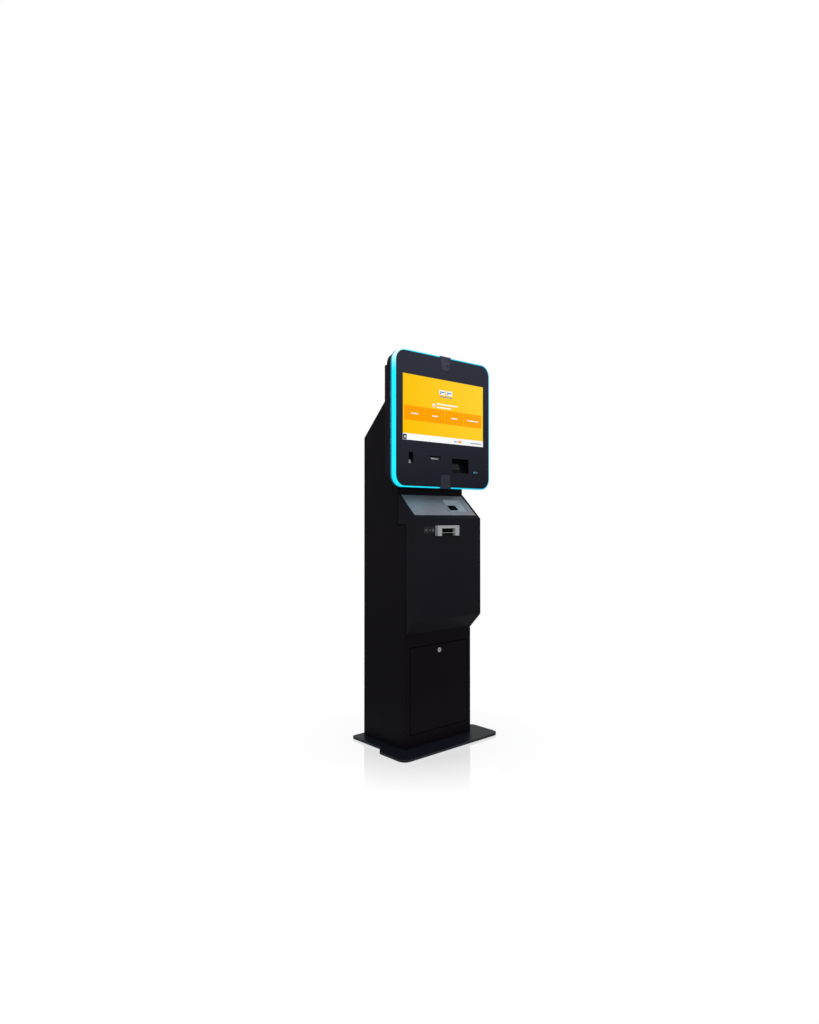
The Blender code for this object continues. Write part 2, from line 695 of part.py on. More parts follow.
# ---- what the column holds ----
def note_unit(dark):
    """The note validator's transport and its stacker, standing on the equipment shelf."""
    ahead = FRONT + 0.030
    outline = softened(
        [(ahead, SHELF_HEIGHT + GAP), (ahead + 0.170, SHELF_HEIGHT + GAP),
         (ahead + 0.170, NOTE_UNIT_TOP - 0.140),
         (ahead + 0.110, NOTE_UNIT_TOP), (ahead, NOTE_UNIT_TOP)],
        [0, 0, 0, 0.020, 0.010], steps=3,
    )
    return prism("note_unit", outline, FROM_SIDE, -NOTE_UNIT_HALF, NOTE_UNIT_HALF, dark, bevel=0.002)


def cash_box(dark):
    """The note cassette in the lower bay, with a recess for its handle."""
    width = SIDE - BOLT_INSET - WASHER_RADIUS - CASSETTE_CLEAR
    low, high = (-width, FRONT + 0.040, ON_BASE + GAP), (width, FRONT + 0.230, CASSETTE_TOP)
    cassette = box("cash_cassette", low, high, dark, bevel=0.003)
    half = HANDLE_HALF + HANDLE_WIRE + 0.002
    cut(
        cassette,
        box("handle_recess", (-half, low[1] - 0.01, HANDLE_Z - HANDLE_DROP - 0.008),
            (half, low[1] + 0.012, HANDLE_Z + 0.010)),
        rod("handle_bores", (-HANDLE_HALF - 0.0105, low[1] + 0.005, HANDLE_Z),
            (HANDLE_HALF + 0.0105, low[1] + 0.005, HANDLE_Z), HANDLE_WIRE + 0.0008, sides=16),
    )
    return cassette


def cassette_handle(zinc):
    """A wire bail with short pivots at its two feet, hanging in the cassette's recess."""
    y = FRONT + 0.040 + 0.005
    half, foot = HANDLE_HALF, HANDLE_Z - HANDLE_DROP
    path = [(-half, y, HANDLE_Z), (-half, y, foot + 0.012), (-half + 0.005, y, foot + 0.003),
            (-half + 0.013, y, foot), (half - 0.013, y, foot), (half - 0.005, y, foot + 0.003),
            (half, y, foot + 0.012), (half, y, HANDLE_Z)]
    bail = tube("cassette_handle", path, HANDLE_WIRE, zinc)
    for side in (-1, 1):
        ends = (side * (half - 0.002), y, HANDLE_Z), (side * (half + 0.010), y, HANDLE_Z)
        weld_on(bail, rod(f"handle_pivot_{side}", *ends, HANDLE_WIRE + 0.0004, sides=16))
    set_origin(bail, (0, y, HANDLE_Z))
    return bail


def computer(dark, zinc):
    """The control computer, finned, and the power supply, on the back of the recess riser."""
    face = RECESS + SHEET + GAP
    low, high = (-0.085, face, LEDGE_HEIGHT + 0.047), (0.085, face + 0.040, LEDGE_HEIGHT + 0.177)
    case = box("computer", low, high, dark, bevel=0.002)
    for number in range(7):
        x = -0.072 + number * 0.024
        cut(case, box(f"fin_gap_{number}", (x - 0.006, high[1] - 0.010, low[2] - 0.01),
                      (x + 0.006, high[1] + 0.01, high[2] + 0.01)))
    shelf = SHELF_HEIGHT + GAP
    left, right = -SIDE + SHEET + SUPPLY_CLEAR, -NOTE_UNIT_HALF - SUPPLY_CLEAR
    supply = box("power_supply", (left, BACK - 0.135, shelf), (right, BACK - 0.020, shelf + 0.045),
                 zinc, 0.001)
    for number in range(6):
        y = BACK - 0.120 + number * 0.016
        cut(supply, box(f"supply_slot_{number}", (left + 0.015, y, shelf + 0.043),
                        (right - 0.015, y + 0.005, shelf + 0.06)))
    return case, supply


def fan(dark, zinc):
    """The fan on the back panel: its square housing, its rotor, and a wire guard."""
    face = BACK - SHEET - GAP
    centre = (FAN_X, FAN_Z)
    housing = prism("fan_housing", centred(centre, (0.092, 0.092), 0.006), FROM_FRONT, face - 0.025, face,
                    dark,
                    holes=[circle(centre, FAN_BORE, 32)])
    spider = rod("fan_boss", (FAN_X, face - 0.0246, FAN_Z), (FAN_X, face - 0.0215, FAN_Z), 0.016)
    weld_on(housing, spider)
    for number in range(3):
        turn = radians(90 + 120 * number)
        strut = box(f"strut_{number}", (-0.003, face - 0.0243, 0.012),
                    (0.003, face - 0.0225, FAN_BORE + 0.002))
        strut.data.transform(about((FAN_X, 0, FAN_Z), (0, 1, 0),
                                   turn) @ Matrix.Translation((FAN_X, 0, FAN_Z)))
        weld_on(housing, strut)
    rotor = rod("fan_rotor", (FAN_X, face - 0.0205, FAN_Z), (FAN_X, face - 0.003, FAN_Z), 0.015, dark)
    for number in range(7):
        blade = box(f"blade_{number}", (-0.0008, face - 0.0175, 0.012),
                    (0.0008, face - 0.005, FAN_BORE - 0.002))
        pitch = Matrix.Translation((0, face - 0.0115, 0)) @ Matrix.Rotation(radians(38), 4, "Z")
        turn = Matrix.Rotation(2 * pi * number / 7, 4, "Y")
        lean = Matrix.Translation((FAN_X, 0, FAN_Z)) @ turn @ pitch @ Matrix.Translation((0, 0.0115 - face,
                                                                                          0))
        blade.data.transform(lean)
        weld_on(rotor, blade)
    set_origin(rotor, (FAN_X, face - 0.0115, FAN_Z))
    guard_face = BACK + GAP
    guard = turned("fan_guard", ring_profile(0.0435, 0.0465, 0.0022), (FAN_X, guard_face, FAN_Z), (0, 1, 0),
                   zinc, 32)
    for number, radius in enumerate((0.0135, 0.0285)):
        name = f"guard_ring_{number}"
        weld_on(guard, turned(name, ring_profile(radius - 0.001, radius + 0.001, 0.0022),
                              (FAN_X, guard_face, FAN_Z), (0, 1, 0), None, 32))
    for number in range(4):
        bar = box(f"guard_bar_{number}", (-0.001, guard_face + 0.0002, -0.045),
                  (0.001, guard_face + 0.002, 0.045))
        bar.data.transform(about((FAN_X, 0, FAN_Z), (0, 1, 0),
                                 pi * number / 4) @ Matrix.Translation((FAN_X, 0, FAN_Z)))
        weld_on(guard, bar)
    return rotor


def ring_profile(inner, outer, height):
    """A flat ring's closed section, which runs down its outer side first."""
    return [(inner, height), (outer, height), (outer, 0), (inner, 0), (inner, height)]


def about(point, axis, angle):
    """The turn by an angle about an axis through a point."""
    there = Matrix.Translation(point)
    return there @ Matrix.Rotation(angle, 4, Vector(axis)) @ there.inverted()


def power_inlet(dark):
    """The mains socket in the back, with a rocker switch beside it in the same body."""
    face = BACK + GAP
    body = prism("power_inlet", centred((INLET_X, SOCKET_Z), (SOCKET_WIDTH + 0.006, SOCKET_HEIGHT + 0.006),
                                        0.003),
                 FROM_FRONT, face, face + 0.003, dark)
    tight = centred((INLET_X, SOCKET_Z), (SOCKET_WIDTH - 2 * GAP, SOCKET_HEIGHT - 2 * GAP))
    weld_on(body, prism("inlet_body", tight, FROM_FRONT, BACK - 0.028, face + 0.001))
    socket = softened(rectangle(INLET_X + 0.0005, SOCKET_Z - 0.008, INLET_X + 0.0225, SOCKET_Z + 0.008),
                      [0, 0, 0.004, 0.004], steps=2)
    pocket = rectangle(ROCKER_X - 0.0065, SOCKET_Z - 0.0105, ROCKER_X + 0.0065, SOCKET_Z + 0.0105)
    cut(body, prism("socket_pocket", socket, FROM_FRONT, BACK - 0.016, face + 0.01),
        prism("rocker_pocket", pocket, FROM_FRONT, BACK - 0.012, face + 0.01))
    for number, (dx, dz) in enumerate(((-0.006, -0.002), (0.006, -0.002), (0, 0.003))):
        x, z = INLET_X + 0.0115 + dx, SOCKET_Z + dz
        weld_on(body, box(f"prong_{number}", (x - 0.001, BACK - 0.018, z - 0.002),
                          (x + 0.001, BACK - 0.002, z + 0.002)))
    tilt = radians(ROCKER_TILT)
    rise = 0.0009 + 0.0095 * sin(tilt)
    outline = [(-0.0090, -0.0040), (0.0090, -0.0040), (0.0095, rise), (0, 0.0008), (-0.0095, rise)]
    rocker = prism("power_rocker", outline, view((0, 0, 1), (0, 1, 0), (1, 0, 0), (0, BACK, SOCKET_Z)),
                   ROCKER_X - 0.0058, ROCKER_X + 0.0058, dark)
    rocker.data.transform(about((ROCKER_X, BACK - 0.002, SOCKET_Z), (1, 0, 0), tilt))
    set_origin(rocker, (ROCKER_X, BACK - 0.002, SOCKET_Z))
    return rocker


def cable_gland(dark):
    profile = [(0.0045, 0.018), (0.0075, 0.018), (0.0085, 0.016), (0.0085, 0.008), (0.0145, 0.008),
               (0.0145, 0.0),
               (0.0045, 0.0), (0.0045, 0.018)]
    gland = turned("cable_gland", profile, (GLAND_X, BACK + GAP, SOCKET_Z), (0, 1, 0), dark, 16)
    stem = [(0.0045, 0.001), (GLAND_RADIUS, 0.001), (GLAND_RADIUS, -0.014), (0.0045, -0.014), (0.0045, 0.001)]
    return weld_on(gland, turned("gland_stem", stem, (GLAND_X, BACK + GAP, SOCKET_Z), (0, 1, 0), None, 16))


def tube(name, path, radius, material):
    """A bent wire through a list of points, as a closed mesh."""
    curve = bpy.data.curves.new(name, "CURVE")
    curve.dimensions = "3D"
    curve.bevel_depth = radius
    curve.bevel_resolution = 2
    curve.use_fill_caps = True
    spline = curve.splines.new("POLY")
    spline.points.add(len(path) - 1)
    for point, where in zip(spline.points, path):
        point.co = (*where, 1.0)
    guide = bpy.data.objects.new(name + "_route", curve)
    bpy.context.scene.collection.objects.link(guide)
    bpy.context.view_layer.update()
    mesh = bpy.data.meshes.new_from_object(guide.evaluated_get(bpy.context.evaluated_depsgraph_get()))
    bpy.data.objects.remove(guide)
    bm = bmesh.new()
    bm.from_mesh(mesh)
    bpy.data.meshes.remove(mesh)
    bmesh.ops.remove_doubles(bm, verts=bm.verts, dist=1e-6)
    obj = solid(name, mesh_from(bm, name), material)
    smooth(obj)
    return obj


# ---- locks ----
def block(name, one, other):
    """A box between any two opposite corners."""
    return box(name, [min(pair) for pair in zip(one, other)], [max(pair) for pair in zip(one, other)])


def lock(name, centre, outward, cam_towards, cam_length, hook, metal):
    """A cam lock: a barrel with a collar, and the plug that turns in it with a cam, straight or
    hooked, at its end."""
    out, swing = Vector(outward), Vector(cam_towards)
    centre = Vector(centre)
    bore = LOCK_RADIUS - 0.0025
    profile = [(bore, LOCK_COLLAR_THICK), (LOCK_COLLAR - 0.001, LOCK_COLLAR_THICK), (LOCK_COLLAR, 0.002),
               (LOCK_COLLAR, GAP), (LOCK_RADIUS, GAP), (LOCK_RADIUS, -LOCK_LENGTH), (bore, -LOCK_LENGTH),
               (bore, LOCK_COLLAR_THICK)]
    turned(f"{name}_barrel", profile, centre, out, metal, 24)
    near, far = LOCK_COLLAR_THICK - 0.0005, -LOCK_LENGTH - GAP - CAM_THICK
    plug = rod(f"{name}_plug", centre + out * near, centre + out * (far + 0.0005), bore - GAP, metal, 24)
    side = out.cross(swing)
    inner, outer = centre + out * far, centre + out * (far + CAM_THICK)
    tip = outer + side * CAM_WIDTH / 2 + swing * cam_length
    weld_on(plug, block(f"{name}_cam", inner - side * CAM_WIDTH / 2 - swing * bore, tip))
    if hook:
        start = inner - side * (CAM_WIDTH / 2 + hook) + swing * (cam_length - CAM_WIDTH / 2)
        weld_on(plug, block(f"{name}_hook", start, tip - side * CAM_WIDTH / 2))
    slit = side * 0.0009 + swing * 0.0042
    cut(plug, block(f"{name}_keyway", centre + out * (near - 0.006) - slit,
                    centre + out * (near + 0.001) + slit))
    set_origin(plug, centre)
    return plug


def sleeves(owner, start_points, direction, length, wall_boxes):
    """Joins hinge sleeves, and the webs that hold them, to a door."""
    direction = Vector(direction)
    for number, (start, web) in enumerate(zip(start_points, wall_boxes)):
        start = Vector(start)
        weld_on(owner, box(f"{owner.name}_web_{number}", *web),
                rod(f"{owner.name}_sleeve_{number}", start, start + direction * length, SLEEVE_RADIUS,
                    sides=16))
    first, last = Vector(start_points[0]), Vector(start_points[-1])
    ends = first - direction * 0.02, last + direction * (length + 0.02)
    return cut(owner, rod(f"{owner.name}_sleeve_bore", *ends, HINGE_ROD_RADIUS + GAP, sides=ROUND_SIDES))


# ---- lower door ----
def lower_door(paint, metal, line):
    """A drop-down door: a pan with a fold up each side and along its top, hinged on a rod at its foot."""
    back = FRONT + LOWER_DOOR_FOLD
    outline = rectangle(-LOWER_HALF, LOWER_DOOR_BOTTOM, LOWER_HALF, LOWER_DOOR_TOP)
    panel = shell("lower_door_panel", outline, FROM_FRONT, FRONT, back, (0,), SHEET, paint, cap_high=False)
    y, z = line
    starts = [(-0.100, y, z), (-SLEEVE_LENGTH / 2, y, z), (0.100 - SLEEVE_LENGTH, y, z)]
    webs = [((x, FRONT + SHEET / 2, z - 0.0025), (x + SLEEVE_LENGTH, y - 0.001, z + 0.0025)) for x, _,
            _ in starts]
    sleeves(panel, starts, (1, 0, 0), SLEEVE_LENGTH, webs)
    centre = (0, FRONT, LOWER_DOOR_TOP - LOCK_DROP)
    cut(panel, rod("lower_lock_hole", (0, FRONT - 0.01, centre[2]), (0, FRONT + 0.01, centre[2]),
                   LOCK_RADIUS + GAP, sides=24))
    plug = lock("lower_lock", centre, (0, -1, 0), (1, 0, 0), LOWER_CAM_LENGTH, 0, metal)
    set_origin(panel, (0, y, z))
    return panel, plug


# ---- upper door ----
def upper_outline():
    """The door's side: the chin, the front, the shelf, and the stepped edges that meet the column."""
    foot = UPPER_FOOT + SEAM
    crest = UPPER_CREST - SEAM * tan(SHELF_ANGLE)
    return [(FRONT - SEAM, foot), (DOOR_FACE, UPPER_CHIN), (DOOR_FACE, UPPER_BROW), (RECESS - SEAM, crest),
            (RECESS - SEAM, LEDGE_HEIGHT + SEAM), (FRONT - SEAM, LEDGE_HEIGHT + SEAM)]


def upper_door(paint, line):
    """The folded case round the card reader and the note inlet."""
    case = shell("upper_door_case", upper_outline(), FROM_SIDE, -SIDE, SIDE, (3, 4, 5), SHEET, paint,
                 bevel=0.0009)
    side = SIDE - SHELF_SIDE_RIM
    window = rounded(-side, SHELF_FRONT_RIM, side, SHELF_LENGTH - SHELF_REAR_RIM - SEAM, 0.003, steps=3)
    cut(case, prism("shelf_window", window, ON_SHELF, -SHEET - 0.001, 0.01))
    half_mouth = INLET_MOUTH_WIDTH / 2 + 0.004
    mouth = rectangle(NOTE_X - half_mouth, INLET_TOP - INLET_HEIGHT + 0.004,
                      NOTE_X + half_mouth, INLET_MOUTH_TOP + 0.003)
    cut(case, prism("inlet_window", mouth, FROM_FRONT, DOOR_FACE - 0.01, DOOR_FACE + 0.01))
    x, y = line
    starts = [(x, y, level) for level in UPPER_SLEEVE_LEVELS]
    webs = [((-SIDE + SHEET / 2, y - 0.002, level), (x - 0.001, y + 0.002, level + SLEEVE_LENGTH))
            for level in UPPER_SLEEVE_LEVELS]
    sleeves(case, starts, (0, 0, 1), SLEEVE_LENGTH, webs)
    lock_y = FRONT - UPPER_LOCK_PROUD
    cut(case, rod("upper_lock_hole", (SIDE - 0.01, lock_y, UPPER_LOCK_HEIGHT),
                  (SIDE + 0.01, lock_y, UPPER_LOCK_HEIGHT),
                  LOCK_RADIUS + GAP, sides=24))
    set_origin(case, (x, y, UPPER_FOOT))
    return case


def shelf(steel, dark, silver, glass):
    """The brushed plate in the shelf's window, and the card reader in a pocket on its right."""
    under = -SHEET - GAP
    side = SIDE - SHEET - 0.003
    pocket = (POCKET_LEFT, POCKET_UP, POCKET_LEFT + POCKET_WIDTH, POCKET_UP + POCKET_LENGTH)
    plate = prism("shelf_plate", rectangle(-side, 0.006, side, SHELF_LENGTH - SEAM - 0.004), ON_SHELF,
                  under - SHEET, under, steel, holes=[rounded(*pocket, 0.003, steps=3)])
    floor = under - SHEET - GAP
    grow = 0.004
    frame = rounded(pocket[0] - grow, pocket[1] - grow, pocket[2] + grow, pocket[3] + grow, 0.004, steps=3)
    tray = prism("reader_pocket", frame, ON_SHELF, floor - POCKET_DEPTH, floor, dark)
    cut(tray, prism("reader_pocket_hollow", rounded(*pocket, 0.003, steps=3), ON_SHELF,
                    floor - POCKET_DEPTH + SHEET, floor + 0.01))
    base = floor - POCKET_DEPTH + SHEET + GAP
    left, right = pocket[0] + READER_MARGIN, pocket[2] - READER_MARGIN
    low = pocket[1] + READER_MARGIN
    top = base + READER_HEIGHT
    reader = prism("card_reader", rounded(left, low, right, low + READER_LENGTH, 0.004, steps=3), ON_SHELF,
                   base, top, silver, bevel=0.0012)
    middle = (left + 0.006 + READER_WINDOW_WIDTH / 2, low + READER_LENGTH / 2)
    size = (READER_WINDOW_WIDTH, READER_WINDOW_LENGTH)
    seat = (size[0] + 2 * GAP, size[1] + 2 * GAP)
    ring_at = (right - READER_RING_RADIUS - 0.007, low + READER_LENGTH / 2)
    cut(reader, prism("window_seat", centred(middle, seat, 0.002), ON_SHELF, top - 0.0015, top + 0.01))
    ring = prism("reader_ring", circle(ring_at, READER_RING_RADIUS, 28), ON_SHELF, top - 0.001, top + 0.0014,
                 holes=[circle(ring_at, READER_RING_RADIUS - 0.004, 28)])
    weld_on(reader, ring)
    prism("reader_window", centred(middle, size, 0.002), ON_SHELF, top - 0.0015 + GAP, top + 0.0002, glass)


def note_inlet(silver, steel, dark, plate_finish):
    """The silver note mouth on the door, its lower lip, the feed head behind it, and a pictogram plate."""
    bottom = INLET_TOP - INLET_HEIGHT
    ahead, behind = DOOR_FACE - INLET_PROUD, DOOR_FACE - GAP
    left, right = NOTE_X - INLET_WIDTH / 2, NOTE_X + INLET_WIDTH / 2
    mouth_left, mouth_right = NOTE_X - INLET_MOUTH_WIDTH / 2, NOTE_X + INLET_MOUTH_WIDTH / 2
    outline = [(left, bottom), (mouth_left, bottom), (mouth_left, INLET_MOUTH_TOP),
               (mouth_right, INLET_MOUTH_TOP), (mouth_right, bottom), (right, bottom), (right, INLET_TOP),
               (left, INLET_TOP)]
    surround = prism("inlet_surround", softened(outline, [0, 0, 0.002, 0.002, 0, 0, 0.003, 0.003], steps=3),
                     FROM_FRONT, ahead, behind, silver, bevel=0.0012)
    level = INLET_MOUTH_TOP - INLET_MOUTH_HEIGHT
    lip = [(ahead + 0.001, level - 0.0015), (DOOR_FACE + 0.012, level - 0.0035),
           (DOOR_FACE + 0.012, level - 0.002),
           (ahead + 0.001, level)]
    prism("inlet_lip", lip, FROM_SIDE, mouth_left + GAP, mouth_right - GAP, steel)
    inside = DOOR_FACE + SHEET + GAP
    head = box("note_head", (NOTE_X - NOTE_HEAD_HALF, inside, bottom - 0.018),
               (NOTE_X + NOTE_HEAD_HALF, FRONT - 0.008, INLET_TOP + 0.004), dark, 0.002)
    cut(head, box("note_way", (mouth_left, inside - 0.01, level - 0.0045),
                  (mouth_right, FRONT + 0.01, INLET_MOUTH_TOP - 0.001)))
    low = (left - 0.002 - PLATE_WIDTH, DOOR_FACE - 0.0009, bottom + 0.009)
    box("pictogram_plate", low, (low[0] + PLATE_WIDTH, DOOR_FACE - GAP, low[2] + PLATE_HEIGHT), plate_finish)
    return surround


# ---- head, the part that swings open ----
def bezel(plastic, line):
    """The front of the head: a flat face with a skirt, its openings, and the hinge sleeves at its left."""
    outline = rounded(-BEZEL_HALF, HEAD_MIDDLE - BEZEL_HALF, BEZEL_HALF, HEAD_MIDDLE + BEZEL_HALF,
                      HEAD_RADIUS - RING_WIDTH)
    face = shell("bezel", outline, FROM_FRONT, HEAD_FACE, HEAD_FACE + BEZEL_SKIRT, (), BEZEL_WALL, plastic,
                 cap_high=False, bevel=0.0008)
    openings = {
        "screen_opening": centred((0, SCREEN_CENTRE), (SCREEN_WIDTH, SCREEN_HEIGHT)),
        "finger_opening": centred((FINGER_X, FINGER_Z), (FINGER_WIDTH, FINGER_HEIGHT), 0.003),
        "receipt_opening": centred((RECEIPT_X, RECEIPT_Z), (RECEIPT_WIDTH, RECEIPT_HEIGHT), 0.002),
        "scanner_opening": centred((SCANNER_X, SCANNER_Z), (SCANNER_WIDTH, SCANNER_HEIGHT), 0.002),
        "camera_opening": circle((CAMERA_X, CAMERA_Z), CAMERA_RADIUS + 2 * GAP, 16),
    }
    for name, opening in openings.items():
        cut(face, prism(name, opening, FROM_FRONT, HEAD_FACE - 0.01, HEAD_FACE + 0.01))
    x, y = line
    starts = [(x, y, HEAD_MIDDLE + step * HEAD_SLEEVE_PITCH - SLEEVE_LENGTH / 2) for step in (-1, 0, 1)]
    skirt = HEAD_FACE + BEZEL_SKIRT
    legs = [((-BEZEL_HALF + GAP, skirt - 0.005, z), (x + 0.0013, y - 0.001, z + SLEEVE_LENGTH)) for _, _,
            z in starts]
    sleeves(face, starts, (0, 0, 1), SLEEVE_LENGTH, legs)
    set_origin(face, (x, y, HEAD_MIDDLE))
    return face


def light_ring(acrylic):
    """The lit edge: a square frame with round corners, as deep as the head's front."""
    inner = BEZEL_HALF + GAP
    middle = (0, HEAD_MIDDLE)
    outline = centred(middle, (HEAD_SIZE, HEAD_SIZE), HEAD_RADIUS)
    hole = centred(middle, (2 * inner, 2 * inner), HEAD_RADIUS - RING_WIDTH + GAP)
    return prism("light_ring", outline, FROM_FRONT, HEAD_FACE + GAP, RING_BACK, acrylic, holes=[hole],
                 bevel=0.0012)


def clip(name, edge, sense, wide_end, narrow_end, plastic):
    """A plate folded over the lit edge, with a tongue down the face. sense is +1 above and -1 below."""
    over = edge + sense * (GAP + CLIP_THICK)
    tip = edge - sense * CLIP_LENGTH
    face = HEAD_FACE - GAP
    outline = softened([(-wide_end / 2, over), (-narrow_end / 2, tip), (narrow_end / 2, tip),
                        (wide_end / 2, over)],
                       [0, CLIP_RADIUS, CLIP_RADIUS, 0])
    plate = prism(name, outline, FROM_FRONT, face - CLIP_THICK, face, plastic)
    z_low, z_high = sorted((edge + sense * GAP, over))
    fold = (-wide_end / 2, face - CLIP_THICK / 2, z_low), (wide_end / 2, RING_BACK, z_high)
    return weld_on(plate, box(f"{name}_fold", *fold))


def display(dark, glass):
    """The display module behind the front, and the touch glass in front of it."""
    across, high = SCREEN_WIDTH / 2 + SCREEN_BORDER, SCREEN_HEIGHT / 2 + SCREEN_BORDER
    low = HEAD_FACE + BEZEL_WALL + GAP
    glass_back = low + GLASS_THICK
    box("display_glass", (-across, low, SCREEN_CENTRE - high), (across, glass_back, SCREEN_CENTRE + high),
        glass)
    across, high = SCREEN_WIDTH / 2 + DISPLAY_BORDER, SCREEN_HEIGHT / 2 + DISPLAY_BORDER
    ahead = glass_back + GAP
    module = box("display_module", (-across, ahead, SCREEN_CENTRE - high),
                 (across, ahead + DISPLAY_DEPTH, SCREEN_CENTRE + high), dark, 0.002)
    board = box("display_board", (-0.110, ahead + DISPLAY_DEPTH - 0.002, SCREEN_CENTRE - 0.090),
                (0.110, ahead + DISPLAY_DEPTH + 0.014, SCREEN_CENTRE + 0.060))
    return weld_on(module, board)


def camera(dark, glass):
    """The camera behind the upper clip, with its lens in the clip's small hole."""
    module = box("camera_module", (CAMERA_X - 0.028, BEZEL_INNER, CAMERA_Z - 0.010),
                 (CAMERA_X + 0.028, BEZEL_INNER + 0.014, CAMERA_Z + 0.010), dark, 0.0015)
    nose = HEAD_FACE - 0.0008
    weld_on(module, rod("camera_barrel", (CAMERA_X, nose, CAMERA_Z),
                        (CAMERA_X, BEZEL_INNER + 0.002, CAMERA_Z),
                        CAMERA_RADIUS, sides=16))
    cut(module, rod("camera_seat", (CAMERA_X, nose - 0.01, CAMERA_Z), (CAMERA_X, nose + 0.0015, CAMERA_Z),
                    CAMERA_RADIUS - 0.001, sides=16))
    profile = [(0, 0.0011), (0.0009, 0.0009), (0.0019, 0.0004), (0.0022, 0), (0, 0)]
    turned("camera_lens", profile, (CAMERA_X, nose + 0.0012, CAMERA_Z), (0, -1, 0), glass, 16)
    return module


def finger_reader(dark, silver):
    """The finger slot: a pocket with a sloped floor, and the sensor at its foot."""
    middle = (FINGER_X, FINGER_Z)
    guide = prism("finger_guide", centred(middle, (FINGER_WIDTH + 0.010, FINGER_HEIGHT + 0.010)), FROM_FRONT,
                  BEZEL_INNER, BEZEL_INNER + FINGER_DEPTH + 0.003, dark)
    low, high = FINGER_Z - FINGER_HEIGHT / 2, FINGER_Z + FINGER_HEIGHT / 2
    floor = BEZEL_INNER + FINGER_DEPTH
    pocket = [(BEZEL_INNER - 0.01, low), (floor - 0.008, low), (floor, low + 0.022), (floor, high),
              (BEZEL_INNER - 0.01, high)]
    cut(guide, prism("finger_pocket", pocket, FROM_SIDE, FINGER_X - FINGER_WIDTH / 2,
                     FINGER_X + FINGER_WIDTH / 2))
    pad = [(floor - 0.008 - 0.0015, low + 0.001), (floor - 0.0025 - 0.0015, low + 0.015),
           (floor - 0.0025 - 0.0006, low + 0.015), (floor - 0.008 - 0.0004, low + 0.001)]
    prism("finger_sensor", pad, FROM_SIDE, FINGER_X - 0.0085, FINGER_X + 0.0085, silver)
    return guide


def receipt_printer(dark, paper, rubber):
    """The receipt mouth, and the printer behind it: its channel, platen roller, paper roll and the
    paper's end."""
    middle = (RECEIPT_X, RECEIPT_Z)
    prism("receipt_throat", centred(middle, (RECEIPT_WIDTH + 0.008, RECEIPT_HEIGHT + 0.008)),
          FROM_FRONT,
          BEZEL_INNER, BEZEL_INNER + RECEIPT_THROAT, dark,
          holes=[centred(middle, (PAPER_WIDTH + 0.002, RECEIPT_HEIGHT - 0.003))])
    z = RECEIPT_Z
    box("receipt_paper", (RECEIPT_X - PAPER_WIDTH / 2, HEAD_FACE + 0.0006, z - PAPER_THICK / 2),
        (RECEIPT_X + PAPER_WIDTH / 2, BEZEL_INNER + RECEIPT_THROAT + 0.004, z + PAPER_THICK / 2), paper)
    ahead = BEZEL_INNER + RECEIPT_THROAT + GAP
    half, wall = PAPER_WIDTH / 2 + 0.006, 0.0016
    foot, head = z - 0.052, z + 0.030
    channel = [(RECEIPT_X - half, foot), (RECEIPT_X + half, foot), (RECEIPT_X + half, head),
               (RECEIPT_X + half - wall, head), (RECEIPT_X + half - wall, foot + wall),
               (RECEIPT_X - half + wall, foot + wall), (RECEIPT_X - half + wall, head),
               (RECEIPT_X - half, head)]
    long = 0.100
    case = prism("printer_case", channel, FROM_FRONT, ahead, ahead + long, dark)
    roll_y, roll_z = ahead + 0.062, z - 0.010
    platen_y, platen_z = ahead + 0.016, z - PAPER_THICK / 2 - GAP - PLATEN_RADIUS
    reach = half + 0.01
    cut(case, rod("axle_bore", (RECEIPT_X - reach, platen_y, platen_z),
                  (RECEIPT_X + reach, platen_y, platen_z),
                  AXLE_BORE))
    bar = box("print_head", (RECEIPT_X - half + wall / 2, platen_y - 0.005, z + 0.004),
              (RECEIPT_X + half - wall / 2, platen_y + 0.005, z + 0.018))
    weld_on(case, bar)
    width = PAPER_WIDTH / 2
    roll_profile = [(ROLL_CORE, width), (ROLL_RADIUS, width), (ROLL_RADIUS, -width), (ROLL_CORE, -width),
                    (ROLL_CORE, width)]
    roll = turned("paper_roll", roll_profile, (RECEIPT_X, roll_y, roll_z), (1, 0, 0), paper, 32)
    ends = half - 0.0004
    shape = [(0, ends), (0.002, ends), (0.002, width), (PLATEN_RADIUS, width), (PLATEN_RADIUS, -width),
             (0.002, -width), (0.002, -ends), (0, -ends)]
    platen = turned("platen_roller", shape, (RECEIPT_X, platen_y, platen_z), (1, 0, 0), rubber, 16)
    return roll, platen


